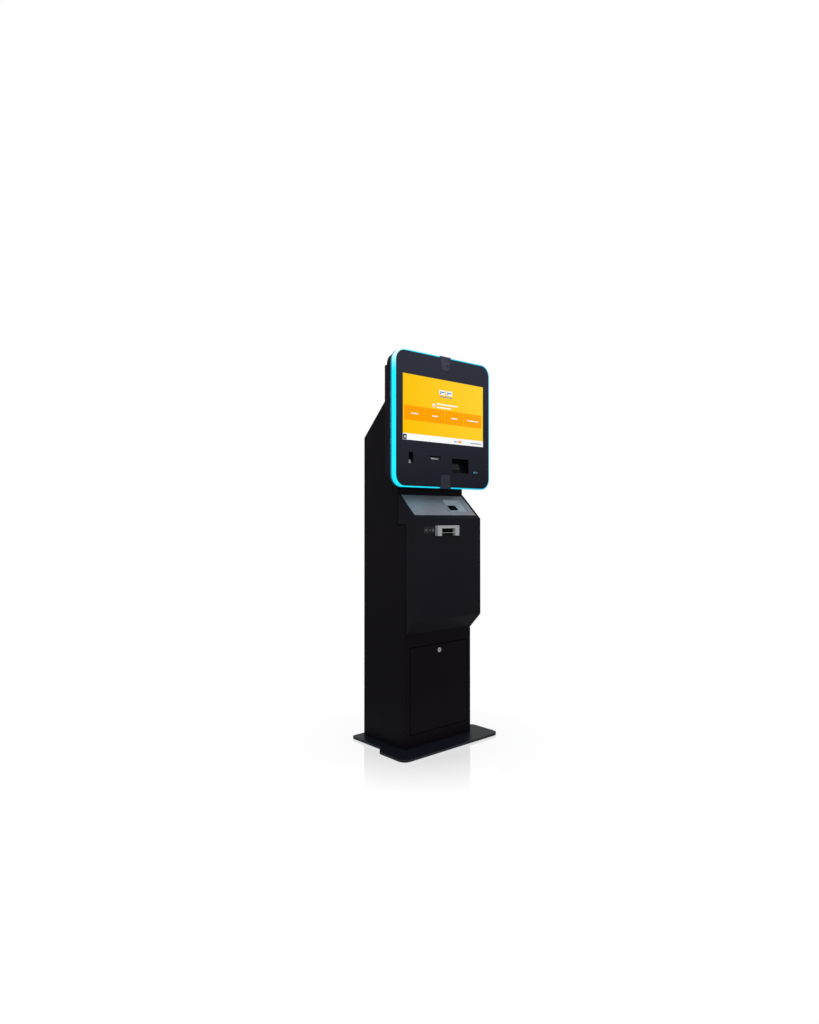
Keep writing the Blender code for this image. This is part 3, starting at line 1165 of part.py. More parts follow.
def scanner(dark, glass):
    """The code scanner's deep hood, its window, and the engine behind it."""
    middle = (SCANNER_X, SCANNER_Z)
    half_width, half_height = SCANNER_WIDTH / 2, SCANNER_HEIGHT / 2
    wall = 0.002
    outline = centred(middle, (SCANNER_WIDTH + 2 * wall, SCANNER_HEIGHT + 2 * wall))
    hood = prism("scanner_hood", outline, FROM_FRONT, BEZEL_INNER, BEZEL_INNER + SCANNER_DEPTH + wall, dark)
    hollow = [(BEZEL_INNER - 0.01, SCANNER_Z - half_height),
              (BEZEL_INNER + SCANNER_DEPTH * 0.55, SCANNER_Z - half_height),
              (BEZEL_INNER + SCANNER_DEPTH, SCANNER_Z + half_height),
              (BEZEL_INNER - 0.01, SCANNER_Z + half_height)]
    cut(hood, prism("scanner_hollow", hollow, FROM_SIDE, SCANNER_X - half_width, SCANNER_X + half_width))
    lean = atan2(SCANNER_DEPTH * 0.45, SCANNER_HEIGHT)
    on_floor = view((1, 0, 0), (0, sin(lean), cos(lean)), (0, cos(lean), -sin(lean)),
                    (SCANNER_X, BEZEL_INNER + SCANNER_DEPTH * 0.55, SCANNER_Z - half_height))
    prism("scanner_window", rounded(-0.030, 0.016, 0.030, 0.052, 0.003, steps=3), on_floor, -0.0022, -GAP,
          glass)
    ahead = BEZEL_INNER + SCANNER_DEPTH + wall
    engine = box("scanner_engine", (SCANNER_X - 0.032, ahead - 0.002, SCANNER_Z - 0.022),
                 (SCANNER_X + 0.032, ahead + 0.022, SCANNER_Z + 0.022))
    return weld_on(hood, engine)


def badge(plate_finish):
    outline = centred((BADGE_X, BADGE_Z), (BADGE_WIDTH, BADGE_HEIGHT), 0.002)
    return prism("badge", outline, FROM_FRONT, HEAD_FACE - GAP - 0.0008, HEAD_FACE - GAP, plate_finish)


# ---- the whole machine ----
def build():
    paint = finish("charcoal_paint", (0.012, 0.011, 0.014), 0.42)
    tray_paint = finish("tray_paint", (0.014, 0.014, 0.018), 0.45)
    plate_paint = finish("slate_paint", (0.028, 0.030, 0.040), 0.45)
    plastic = finish("bezel_plastic", (0.022, 0.024, 0.034), 0.40)
    clip_plastic = finish("clip_plastic", (0.045, 0.050, 0.065), 0.45)
    dark = finish("black_plastic", (0.010, 0.010, 0.012), 0.50)
    acrylic = finish("lit_acrylic", (0.0, 0.80, 1.0), 0.25)
    glass = finish("dark_glass", (0.006, 0.007, 0.010), 0.08)
    steel = finish("brushed_steel", (0.45, 0.46, 0.48), 0.34, 1.0)
    silver = finish("satin_silver", (0.40, 0.41, 0.44), 0.30, 1.0)
    zinc = finish("zinc", (0.50, 0.50, 0.48), 0.40, 1.0)
    rubber = finish("grey_rubber", (0.05, 0.05, 0.05), 0.80)
    paper = finish("white_paper", (0.85, 0.85, 0.83), 0.85)

    upper_line = (-SIDE + UPPER_HINGE_INSET, FRONT - UPPER_HINGE_PROUD)
    lower_line = (FRONT + LOWER_HINGE_SET_BACK, LOWER_DOOR_BOTTOM + LOWER_HINGE_RISE)
    head_line = (-HEAD_HALF + HEAD_HINGE_INSET, RING_BACK + HEAD_HINGE_BACK)

    base_plate(plate_paint)
    anchor_bolts(zinc)
    side_panels(paint)
    back_panel(paint)
    sloped_top_panel(paint)
    front_frame(paint, lower_line, upper_line)
    recess_panel(paint)
    hinge_rods(zinc, upper_line, lower_line, head_line)
    equipment_shelf(zinc)
    head_tray(tray_paint, head_line)
    head_box(tray_paint)

    note_unit(dark)
    cash_box(dark)
    cassette_handle(zinc)
    computer(dark, zinc)
    fan(dark, zinc)
    power_inlet(dark)
    cable_gland(dark)

    lower_door(paint, silver, lower_line)
    upper_door(paint, upper_line)
    lock("upper_lock", (SIDE, FRONT - UPPER_LOCK_PROUD, UPPER_LOCK_HEIGHT), (1, 0, 0), (0, 0, 1),
         UPPER_CAM_LENGTH,
         UPPER_CAM_HOOK, silver)
    shelf(steel, dark, silver, glass)
    note_inlet(silver, steel, dark, clip_plastic)

    bezel(plastic, head_line)
    light_ring(acrylic)
    upper = clip("upper_clip", HEAD_TOP, 1, CLIP_WIDTH, CLIP_WIDTH - 2 * CLIP_TAPER, clip_plastic)
    cut(upper, rod("clip_hole", (CAMERA_X, HEAD_FACE - 0.01, CAMERA_Z), (CAMERA_X, HEAD_FACE, CAMERA_Z),
                   CAMERA_RADIUS + 2 * GAP, sides=16))
    clip("lower_clip", HEAD_BOTTOM, -1, CLIP_WIDTH, CLIP_WIDTH - 1.2 * CLIP_TAPER, clip_plastic)
    display(dark, glass)
    camera(dark, glass)
    finger_reader(dark, silver)
    receipt_printer(dark, paper, rubber)
    scanner(dark, glass)
    badge(clip_plastic)


clear_scene()
PARTS = new_collection("atm_machine")
CUTTERS = new_collection("cutters")
build()
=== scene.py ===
"""The looks of a free-standing cash machine: finishes, lit screen, small fittings, and a plain white studio.

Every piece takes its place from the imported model's own boxes. Metres, +Z up, the customer's side faces -Y.
"""

from __future__ import annotations

import logging
from dataclasses import dataclass, field
from enum import Enum
from math import cos, pi, radians, sin

import bmesh
import bpy
from mathutils import Matrix, Vector


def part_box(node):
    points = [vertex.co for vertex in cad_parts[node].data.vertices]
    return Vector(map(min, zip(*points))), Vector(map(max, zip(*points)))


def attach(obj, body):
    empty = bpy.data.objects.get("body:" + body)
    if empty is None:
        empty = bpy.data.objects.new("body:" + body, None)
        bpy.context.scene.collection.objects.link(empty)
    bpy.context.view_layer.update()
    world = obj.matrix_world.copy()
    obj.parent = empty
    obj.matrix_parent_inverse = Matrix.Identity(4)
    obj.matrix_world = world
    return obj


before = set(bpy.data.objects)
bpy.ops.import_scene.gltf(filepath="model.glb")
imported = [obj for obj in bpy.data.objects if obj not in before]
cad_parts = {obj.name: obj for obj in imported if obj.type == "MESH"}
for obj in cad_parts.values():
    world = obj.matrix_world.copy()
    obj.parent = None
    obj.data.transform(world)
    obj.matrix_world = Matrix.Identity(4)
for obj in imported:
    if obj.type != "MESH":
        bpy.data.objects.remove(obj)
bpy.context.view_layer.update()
LOG = logging.getLogger("cash_machine")

Colour = tuple[float, float, float]
Point = tuple[float, float, float]
Flat = tuple[float, float]
Share = tuple[float, float, float, float]  # a box on the screen: left, foot, right and top, as shares of it


class Body(Enum):
    """The moving bodies of the machine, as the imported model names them."""

    CABINET = "cabinet"
    UPPER_DOOR = "upper_door"
    LOWER_DOOR = "lower_door"
    HEAD_DOOR = "head_door"


class Direction(Enum):
    """The way a brushed or moulded grain runs."""

    ACROSS = (4.0, 260.0, 260.0)
    UPRIGHT = (260.0, 260.0, 4.0)


# ---- node sketching ----
class Sketch:
    """A material's node tree, with short calls for the nodes that the finishes share."""

    def __init__(self, name: str) -> None:
        """Starts a node material with a Principled shader.

        Args:
            name: The material's name.
        """
        self.material = bpy.data.materials.new(name)
        self.material.use_nodes = True
        self.tree = self.material.node_tree
        self.shader = self.tree.nodes["Principled BSDF"]
        self.place = self.tree.nodes.new("ShaderNodeTexCoord").outputs["Object"]

    def set(self, **values: float | Colour) -> None:
        """Sets constant numbers and colours on the shader's own sockets.

        Args:
            **values: Socket names, with _ for a space, and their values.
        """
        for name, value in values.items():
            socket = self.shader.inputs[name.replace("_", " ")]
            socket.default_value = (*value, 1.0) if isinstance(value, tuple) and len(value) == 3 else value

    def node(self, kind: str, inputs: dict | None = None, **settings: object) -> bpy.types.Node:
        """Adds a node.

        Args:
            kind: The node's type without its ShaderNode prefix.
            inputs: Socket names with a value or an output to link.
            **settings: Attributes to set on the node.

        Returns:
            The new node.
        """
        made = self.tree.nodes.new("ShaderNode" + kind)
        for name, value in settings.items():
            setattr(made, name, value)
        for name, value in (inputs or {}).items():
            if isinstance(value, bpy.types.NodeSocket):
                self.tree.links.new(value, made.inputs[name])
            else:
                made.inputs[name].default_value = value
        return made

    def noise(self, scale: float, detail: float = 2.0,
              stretch: Point = (1.0, 1.0, 1.0)) -> bpy.types.NodeSocket:
        """Noise over the piece's own coordinates.

        Args:
            scale: Grains to a metre.
            detail: Octaves.
            stretch: How each axis is scaled before the noise is read.

        Returns:
            The noise value's socket, 0 to 1.
        """
        spread = self.node("Mapping", {"Vector": self.place, "Scale": stretch})
        texture = self.node("TexNoise", {"Vector": spread.outputs["Vector"], "Scale": scale,
                                         "Detail": detail})
        return texture.outputs["Fac"]

    def remap(self, value: bpy.types.NodeSocket, low: float, high: float, start: float = 0.0,
              end: float = 1.0) -> bpy.types.NodeSocket:
        """Maps a value from one range to another.

        Args:
            value: The value to map.
            low: What start becomes.
            high: What end becomes.
            start: The first end of the range that is read.
            end: Its other end.

        Returns:
            The mapped value's socket.
        """
        made = self.node("MapRange", {"Value": value, "From Min": start, "From Max": end, "To Min": low,
                                      "To Max": high})
        return made.outputs["Result"]

    def blend(self, share: bpy.types.NodeSocket, first: Colour | bpy.types.NodeSocket,
              second: Colour | bpy.types.NodeSocket) -> bpy.types.NodeSocket:
        """Mixes two colours by a share.

        Args:
            share: 0 gives the first colour and 1 the second.
            first: A colour or a colour output.
            second: A colour or a colour output.

        Returns:
            The mixed colour's socket.
        """
        made = self.node("Mix", data_type="RGBA")
        self.tree.links.new(share, made.inputs[0])
        for index, value in ((6, first), (7, second)):
            if isinstance(value, bpy.types.NodeSocket):
                self.tree.links.new(value, made.inputs[index])
            else:
                made.inputs[index].default_value = (*value, 1.0)
        return made.outputs[2]

    def axis(self, name: str) -> bpy.types.NodeSocket:
        """One coordinate of the piece in metres."""
        return self.node("SeparateXYZ", {"Vector": self.place}).outputs[name]

    def drive(self, name: str, value: bpy.types.NodeSocket) -> None:
        """Links an output to one of the shader's sockets."""
        self.tree.links.new(value, self.shader.inputs[name])

    def bump(self, height: bpy.types.NodeSocket, depth: float, strength: float = 1.0) -> None:
        """Adds a bump to the shader's normal.

        Args:
            height: The height, 0 to 1.
            depth: Its full depth in metres.
            strength: How much of it shows.
        """
        made = self.node("Bump", {"Height": height, "Distance": depth, "Strength": strength})
        self.drive("Normal", made.outputs["Normal"])


# ---- finishes ----
@dataclass(frozen=True)
class Finish:
    """What every finish has: a name, and a way to make its material."""

    name: str

    def build(self) -> bpy.types.Material:
        """Makes the material, which each finish does in its own way."""
        raise NotImplementedError


@dataclass(frozen=True)
class PowderCoat(Finish):
    """Fine-textured paint on sheet steel, a shade lighter where it is rubbed or catches dust."""

    colour: Colour
    worn: Colour
    roughness: float = 0.42
    specular: float = 0.25

    def build(self) -> bpy.types.Material:
        """Makes the material.

        Returns:
            The painted finish.
        """
        sketch = Sketch(self.name)
        cloud = sketch.noise(2.6, 3.0)
        fleck = sketch.noise(420.0, 2.0)
        share = sketch.remap(cloud, 0.0, 0.75, 0.38, 0.72)
        body = sketch.blend(share, self.colour, self.worn)
        speck = sketch.remap(fleck, 0.0, 0.35, 0.55, 0.80)
        sketch.drive("Base Color", sketch.blend(speck, body, self.worn))
        sketch.drive("Roughness", sketch.remap(fleck, self.roughness - 0.06, self.roughness + 0.10, 0.3, 0.7))
        sketch.set(Specular_IOR_Level=self.specular)
        sketch.bump(fleck, 0.00012, 0.45)
        return sketch.material


@dataclass(frozen=True)
class MouldedPlastic(Finish):
    """Moulded plastic with a fine grain, which may fade from one colour at its foot to another above; the
    fade is painted light, darker at the foot and lighter at the top as if lit from above.
    """

    low_colour: Colour
    high_colour: Colour
    roughness: float = 0.40
    specular: float = 0.30
    low: float = 0.0
    high: float = 1.0
    grain: float = 700.0
    depth: float = 0.00008

    def build(self) -> bpy.types.Material:
        """Makes the material.

        Returns:
            The plastic finish.
        """
        sketch = Sketch(self.name)
        # painted light: the colour brightens from the foot towards the top
        painted_light_rise = sketch.remap(sketch.axis("Z"), 0.0, 1.0, self.low, self.high)
        body = sketch.blend(painted_light_rise, self.low_colour, self.high_colour)
        grain = sketch.noise(self.grain, 3.0)
        lighter = tuple(min(1.0, c * 1.35 + 0.002) for c in self.high_colour)
        speck = sketch.remap(grain, 0.0, 0.5, 0.56, 0.78)
        sketch.drive("Base Color", sketch.blend(speck, body, lighter))
        cloud = sketch.noise(6.0, 2.0)
        sketch.drive("Roughness", sketch.remap(cloud, self.roughness - 0.04, self.roughness + 0.06, 0.3, 0.7))
        sketch.set(Specular_IOR_Level=self.specular)
        sketch.bump(grain, self.depth, 0.4)
        return sketch.material


@dataclass(frozen=True)
class BrushedMetal(Finish):
    """Metal brushed one way, with the streaks in its colour, gloss and surface."""

    colour: Colour
    shade: Colour
    roughness: float = 0.32
    grain: Direction = Direction.ACROSS
    depth: float = 0.00005
    share: float = 1.0

    def build(self) -> bpy.types.Material:
        """Makes the material.

        Returns:
            The metal finish.
        """
        sketch = Sketch(self.name)
        streak = sketch.noise(9.0, 4.0, self.grain.value)
        cloud = sketch.noise(9.0, 2.0)
        body = sketch.blend(sketch.remap(streak, 0.0, 1.0, 0.35, 0.65), self.shade, self.colour)
        sketch.drive("Base Color", sketch.blend(sketch.remap(cloud, 0.0, 0.4, 0.4, 0.75), body, self.shade))
        gloss = sketch.remap(streak, self.roughness + 0.08, self.roughness - 0.06, 0.3, 0.7)
        sketch.drive("Roughness", gloss)
        sketch.set(Metallic=self.share)
        sketch.bump(streak, self.depth, 0.35)
        return sketch.material


@dataclass(frozen=True)
class DarkGlass(Finish):
    """Polished dark cover glass, faintly smeared."""

    colour: Colour = (0.008, 0.009, 0.012)

    def build(self) -> bpy.types.Material:
        """Makes the material.

        Returns:
            The glass finish.
        """
        sketch = Sketch(self.name)
        smear = sketch.noise(34.0, 4.0, (1.0, 1.0, 0.4))
        lighter = tuple(c * 1.8 + 0.001 for c in self.colour)
        share = sketch.remap(smear, 0.0, 0.6, 0.5, 0.8)
        sketch.drive("Base Color", sketch.blend(share, self.colour, lighter))
        sketch.drive("Roughness", sketch.remap(smear, 0.05, 0.14, 0.35, 0.75))
        sketch.set(Specular_IOR_Level=0.45)
        return sketch.material


@dataclass(frozen=True)
class Lit(Finish):
    """A surface that gives its own light, with a fine grain, fading between two colours along a line."""

    colour: Colour
    far_colour: Colour
    start: Point
    end: Point
    strength: float = 1.0
    grain: float = 1400.0
    share: float = 0.06

    def build(self) -> bpy.types.Material:
        """Makes the material.

        Returns:
            The lit finish.
        """
        sketch = Sketch(self.name)
        line = Vector(self.end) - Vector(self.start)
        along = sketch.node("VectorMath", {0: sketch.place, 1: self.start}, operation="SUBTRACT")
        reach = sketch.node("VectorMath", {0: along.outputs[0], 1: tuple(line / line.length_squared)},
                            operation="DOT_PRODUCT")
        fade = sketch.remap(reach.outputs["Value"], 0.0, 1.0)
        grain = sketch.remap(sketch.noise(self.grain, 1.0), 0.0, self.share, 0.4, 0.7)
        body = sketch.blend(fade, self.colour, self.far_colour)
        colour = sketch.blend(grain, body, tuple(c * 0.8 for c in self.colour))
        sketch.drive("Emission Color", colour)
        sketch.set(Base_Color=(0.0, 0.0, 0.0), Emission_Strength=self.strength, Roughness=0.6,
                   Specular_IOR_Level=0.0)
        return sketch.material


@dataclass(frozen=True)
class EdgeLight(Finish):
    """Edge-lit acrylic: white-hot near its lamps at one corner, dimmer at the far side, dark at the back."""

    hot: Colour
    glow: Colour
    dim: Colour
    corner: Point
    reach: float
    left: float
    right: float
    front: float
    back: float
    strength: float = 1.0

    def build(self) -> bpy.types.Material:
        """Makes the material.

        Returns:
            The lit acrylic.
        """
        sketch = Sketch(self.name)
        reach = sketch.node("VectorMath", {0: sketch.place, 1: self.corner}, operation="DISTANCE")
        across = sketch.remap(sketch.axis("X"), 0.0, 1.0, self.left, self.right)
        body = sketch.blend(across, self.glow, self.dim)
        heat = sketch.remap(reach.outputs["Value"], 1.0, 0.0, 0.02, self.reach)
        soft = sketch.node("Math", {0: heat, 1: 2.0}, operation="POWER").outputs[0]
        grain = sketch.remap(sketch.noise(160.0, 2.0), 0.0, 0.10, 0.35, 0.7)
        colour = sketch.blend(soft, body, self.hot)
        depth = sketch.remap(sketch.axis("Y"), 0.0, 0.95, self.front, self.back)
        body = sketch.blend(depth, sketch.blend(grain, colour, self.dim), tuple(c * 0.05 for c in self.dim))
        sketch.drive("Emission Color", body)
        sketch.set(Base_Color=self.dim, Emission_Strength=self.strength, Roughness=0.3)
        return sketch.material


@dataclass(frozen=True)
class Matt(Finish):
    """Matt rubber, paper or card, with a soft mottle and a fine tooth."""

    colour: Colour
    shade: Colour
    roughness: float = 0.8
    grain: float = 500.0
    depth: float = 0.0001

    def build(self) -> bpy.types.Material:
        """Makes the material.

        Returns:
            The matt finish.
        """
        sketch = Sketch(self.name)
        tooth = sketch.noise(self.grain, 3.0)
        share = sketch.remap(tooth, 0.0, 0.8, 0.3, 0.7)
        sketch.drive("Base Color", sketch.blend(share, self.colour, self.shade))
        sketch.drive("Roughness", sketch.remap(tooth, self.roughness - 0.08, self.roughness + 0.08, 0.3, 0.7))
        sketch.set(Specular_IOR_Level=0.2)
        sketch.bump(tooth, self.depth, 0.5)
        return sketch.material


# ---- the machine's finishes ----
CHARCOAL = PowderCoat("charcoal_coat", (0.0078, 0.0056, 0.0110), (0.0125, 0.0098, 0.0180), specular=0.10)
CASE_COAT = PowderCoat("case_coat", (0.0150, 0.0135, 0.0240), (0.0220, 0.0205, 0.0350), 0.46, 0.12)
SLATE = PowderCoat("slate_coat", (0.015, 0.017, 0.028), (0.024, 0.028, 0.048), 0.38, 0.28)
# painted light on the bezel and the clips: dark at z 1.09 m, lighter up to z 1.63 m, a painted highlight at
# the top and painted shade at the foot
BEZEL = MouldedPlastic("bezel_grain_and_painted_light", (0.0195, 0.0215, 0.0370), (0.0680, 0.0750, 0.1180), 0.42, 0.12,
                       low=1.09, high=1.63)
CLIP = MouldedPlastic("clip_grain_and_painted_light", (0.050, 0.057, 0.092), (0.110, 0.124, 0.190), 0.45, 0.22,
                      low=1.08, high=1.64)
BLACK = MouldedPlastic("black_grain", (0.0045, 0.0045, 0.0065), (0.0075, 0.0075, 0.0105), 0.50, 0.15)
PLATE = MouldedPlastic("plate_grain", (0.014, 0.015, 0.023), (0.020, 0.022, 0.034), 0.45)
STEEL = BrushedMetal("brushed_stainless", (0.80, 0.72, 0.77), (0.54, 0.49, 0.52), 0.45, share=0.35)
SILVER = BrushedMetal("satin_silver", (0.95, 0.96, 0.98), (0.84, 0.86, 0.90), 0.34, Direction.UPRIGHT,
                      share=0.20)
BRIGHT = BrushedMetal("bright_lip", (0.95, 0.95, 0.97), (0.85, 0.86, 0.88), 0.25, share=0.25)
ZINC = BrushedMetal("zinc_plate", (0.46, 0.46, 0.44), (0.32, 0.32, 0.31), 0.45, share=0.8)
GLASS = DarkGlass("dark_cover_glass")
RUBBER = Matt("black_rubber", (0.012, 0.012, 0.012), (0.022, 0.022, 0.022), 0.75)
PAPER = Matt("receipt_paper", (0.86, 0.86, 0.84), (0.74, 0.74, 0.72), 0.85, 900.0, 0.00004)
PRINT = Matt("pale_print", (0.50, 0.52, 0.55), (0.40, 0.42, 0.45), 0.6, 900.0, 0.00003)
# signal_blue emits light: true for the note unit's state lamps, a painted glow on the badge's printed dot
SIGNAL = Lit("signal_blue", (0.0, 0.30, 0.85), (0.0, 0.42, 0.95), (0.0, 0.0, 0.0), (0.0, 0.0, 1.0), 0.8)


@dataclass
class Workshop:
    """Keeps each finish's material once, and dresses CAD nodes and new pieces."""

    made: dict[str, bpy.types.Material] = field(default_factory=dict)

    def material(self, finish: Finish) -> bpy.types.Material:
        """The material of a finish, made at its first use.

        Args:
            finish: The finish.

        Returns:
            Its material.
        """
        if finish.name not in self.made:
            self.made[finish.name] = finish.build()
        return self.made[finish.name]

    def dress(self, finish: Finish, *nodes: str, bevel: float = 0.0) -> None:
        """Gives CAD nodes a finish, and soft edges where they have a bevel.

        Args:
            finish: The finish.
            *nodes: The nodes' names.
            bevel: The width of the rounded edges, in metres.
        """
        for name in nodes:
            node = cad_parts[name]
            node.data.materials.clear()
            node.data.materials.append(self.material(finish))
            if bevel:
                round_edges(node, bevel)
            LOG.info("dressed %s in %s", name, finish.name)

    def piece(self, name: str, mesh: bpy.types.Mesh, finish: Finish, body: Body, slot: str,
              bevel: float = 0.0, smooth: bool = False) -> bpy.types.Object:
        """Puts a new piece on a body in its finish.

        Args:
            name: The piece's name.
            mesh: Its mesh, in the machine's own frame.
            finish: Its finish.
            body: The body that it rides on.
            slot: A material slot name for the record; not used.
            bevel: The width of its rounded edges.
            smooth: Whether its faces are shaded smooth.

        Returns:
            The new object.
        """
        mesh.name = name
        piece = bpy.data.objects.new(name, mesh)
        bpy.context.scene.collection.objects.link(piece)
        mesh.materials.append(self.material(finish))
        if smooth:
            mesh.shade_smooth()
            mesh.set_sharp_from_angle(angle=radians(32))
        if bevel:
            round_edges(piece, bevel)
        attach(piece, body.value)
        LOG.info("made %s on %s", name, body.value)
        return piece


def round_edges(obj: bpy.types.Object, width: float, segments: int = 2) -> None:
    """Rounds an object's hard edges with a Bevel modifier.

    Args:
        obj: The object.
        width: The bevel's width in metres.
        segments: Its steps.
    """
    rounding = obj.modifiers.new("soft_edges", "BEVEL")
    rounding.width = width
    rounding.segments = segments
    rounding.limit_method = "ANGLE"
    rounding.angle_limit = radians(40)
    rounding.use_clamp_overlap = True
    rounding.harden_normals = True


# ---- mesh making ----
class Shape:
    """A mesh under construction, made of blocks, discs, plates and rings."""

    def __init__(self) -> None:
        """Starts with nothing."""
        self.bm = bmesh.new()

    def block(self, low: Point, high: Point) -> Shape:
        """Adds a block between two corners.

        Args:
            low: Its lowest corner.
            high: Its highest corner.

        Returns:
            The shape.
        """
        low, high = Vector(low), Vector(high)
        made = bmesh.ops.create_cube(self.bm, size=1.0)["verts"]
        bmesh.ops.scale(self.bm, vec=high - low, verts=made)
        bmesh.ops.translate(self.bm, vec=(low + high) / 2, verts=made)
        return self

    def disc(self, centre: Point, along: Point, radius: float, height: float, sides: int = 20,
             top: float | None = None) -> Shape:
        """Adds a round or many-sided boss.

        Args:
            centre: The middle of its foot.
            along: The direction it stands in.
            radius: Its radius at the foot.
            height: Its height.
            sides: How many sides it has.
            top: Its radius at the top, if that differs.

        Returns:
            The shape.
        """
        way = Vector(along).normalized()
        turn = Vector((0, 0, 1)).rotation_difference(way).to_matrix().to_4x4()
        made = bmesh.ops.create_cone(self.bm, cap_ends=True, segments=sides, radius1=radius,
                                     radius2=radius if top is None else top, depth=height)["verts"]
        place = Matrix.Translation(Vector(centre) + way * height / 2) @ turn
        bmesh.ops.transform(self.bm, matrix=place, verts=made)
        return self

    def plate(self, outline: list[Flat], place: Matrix, thick: float) -> Shape:
        """Adds a flat outline with a thickness.

        Args:
            outline: Its corners, across and up.
            place: The matrix that puts across, up and out in the machine's frame.
            thick: How far it reaches out.

        Returns:
            The shape.
        """
        foot = self.bm.faces.new([self.bm.verts.new(place @ Vector((x, y, 0.0))) for x, y in outline])
        raised = bmesh.ops.extrude_face_region(self.bm, geom=[foot])["geom"]
        out = place.to_3x3() @ Vector((0, 0, thick))
        bmesh.ops.translate(self.bm, vec=out, verts=[v for v in raised if isinstance(v, bmesh.types.BMVert)])
        return self

    def ring(self, outer: list[Flat], inner: list[Flat], place: Matrix, thick: float) -> Shape:
        """Adds a flat ring between two outlines of as many corners, with a thickness.

        Args:
            outer: Its outer corners.
            inner: Its inner corners.
            place: Where across, up and out point.
            thick: How far it reaches out.

        Returns:
            The shape.
        """
        loops = [[self.bm.verts.new(place @ Vector((x, y, level))) for x, y in points]
                 for points, level in ((outer, 0.0), (outer, thick), (inner, thick), (inner, 0.0))]
        count = len(outer)
        for here, after in zip(loops, loops[1:] + loops[:1]):
            for i in range(count):
                j = (i + 1) % count
                self.bm.faces.new((here[i], here[j], after[j], after[i]))
        return self

    def mesh(self) -> bpy.types.Mesh:
        """Finishes the mesh with its faces out.

        Returns:
            The mesh.
        """
        bmesh.ops.recalc_face_normals(self.bm, faces=self.bm.faces)
        made = bpy.data.meshes.new("shape")
        self.bm.to_mesh(made)
        self.bm.free()
        return made


def facing_front(y: float) -> Matrix:
    """The matrix for outlines drawn as seen from the front, with across to +X and out to -Y.

    Args:
        y: The plane that they stand on.

    Returns:
        The matrix from across, up and out.
    """
    matrix = Matrix(((1, 0, 0), (0, 0, 1), (0, -1, 0))).transposed().to_4x4()
    matrix.translation = (0, y, 0)
    return matrix


def facing_back(y: float) -> Matrix:
    """The matrix for outlines drawn as seen from the back, with across to -X and out to +Y.

    Args:
        y: The plane that they stand on.

    Returns:
        The matrix from across, up and out.
    """
    matrix = Matrix(((-1, 0, 0), (0, 0, 1), (0, 1, 0))).transposed().to_4x4()
    matrix.translation = (0, y, 0)
    return matrix


def rounded(left: float, low: float, right: float, high: float, radius: float, steps: int = 5) -> list[Flat]:
    """A rectangle's outline with round corners.

    Args:
        left: Its left side.
        low: Its foot.
        right: Its right side.
        high: Its top.
        radius: The corners' radius.
        steps: Straight pieces in each corner.

    Returns:
        The outline's points.
    """
    corners = (((right - radius, low + radius), -90), ((right - radius, high - radius), 0),
               ((left + radius, high - radius), 90), ((left + radius, low + radius), 180))
    turns = [((x, z), radians(start + 90 * k / steps)) for (x, z), start in corners for k in range(steps + 1)]
    return [(x + radius * cos(turn), z + radius * sin(turn)) for (x, z), turn in turns]


def around(x: float, z: float, wide: float, tall: float, radius: float, steps: int = 5) -> list[Flat]:
    """A round-cornered rectangle's outline from its middle, width, height, radius and corner steps."""
    return rounded(x - wide / 2, z - tall / 2, x + wide / 2, z + tall / 2, radius, steps)


def circle(centre: Flat, radius: float, sides: int = 24) -> list[Flat]:
    """A circle's outline as points."""
    return [(centre[0] + radius * cos(2 * pi * k / sides), centre[1] + radius * sin(2 * pi * k / sides))
            for k in range(sides)]


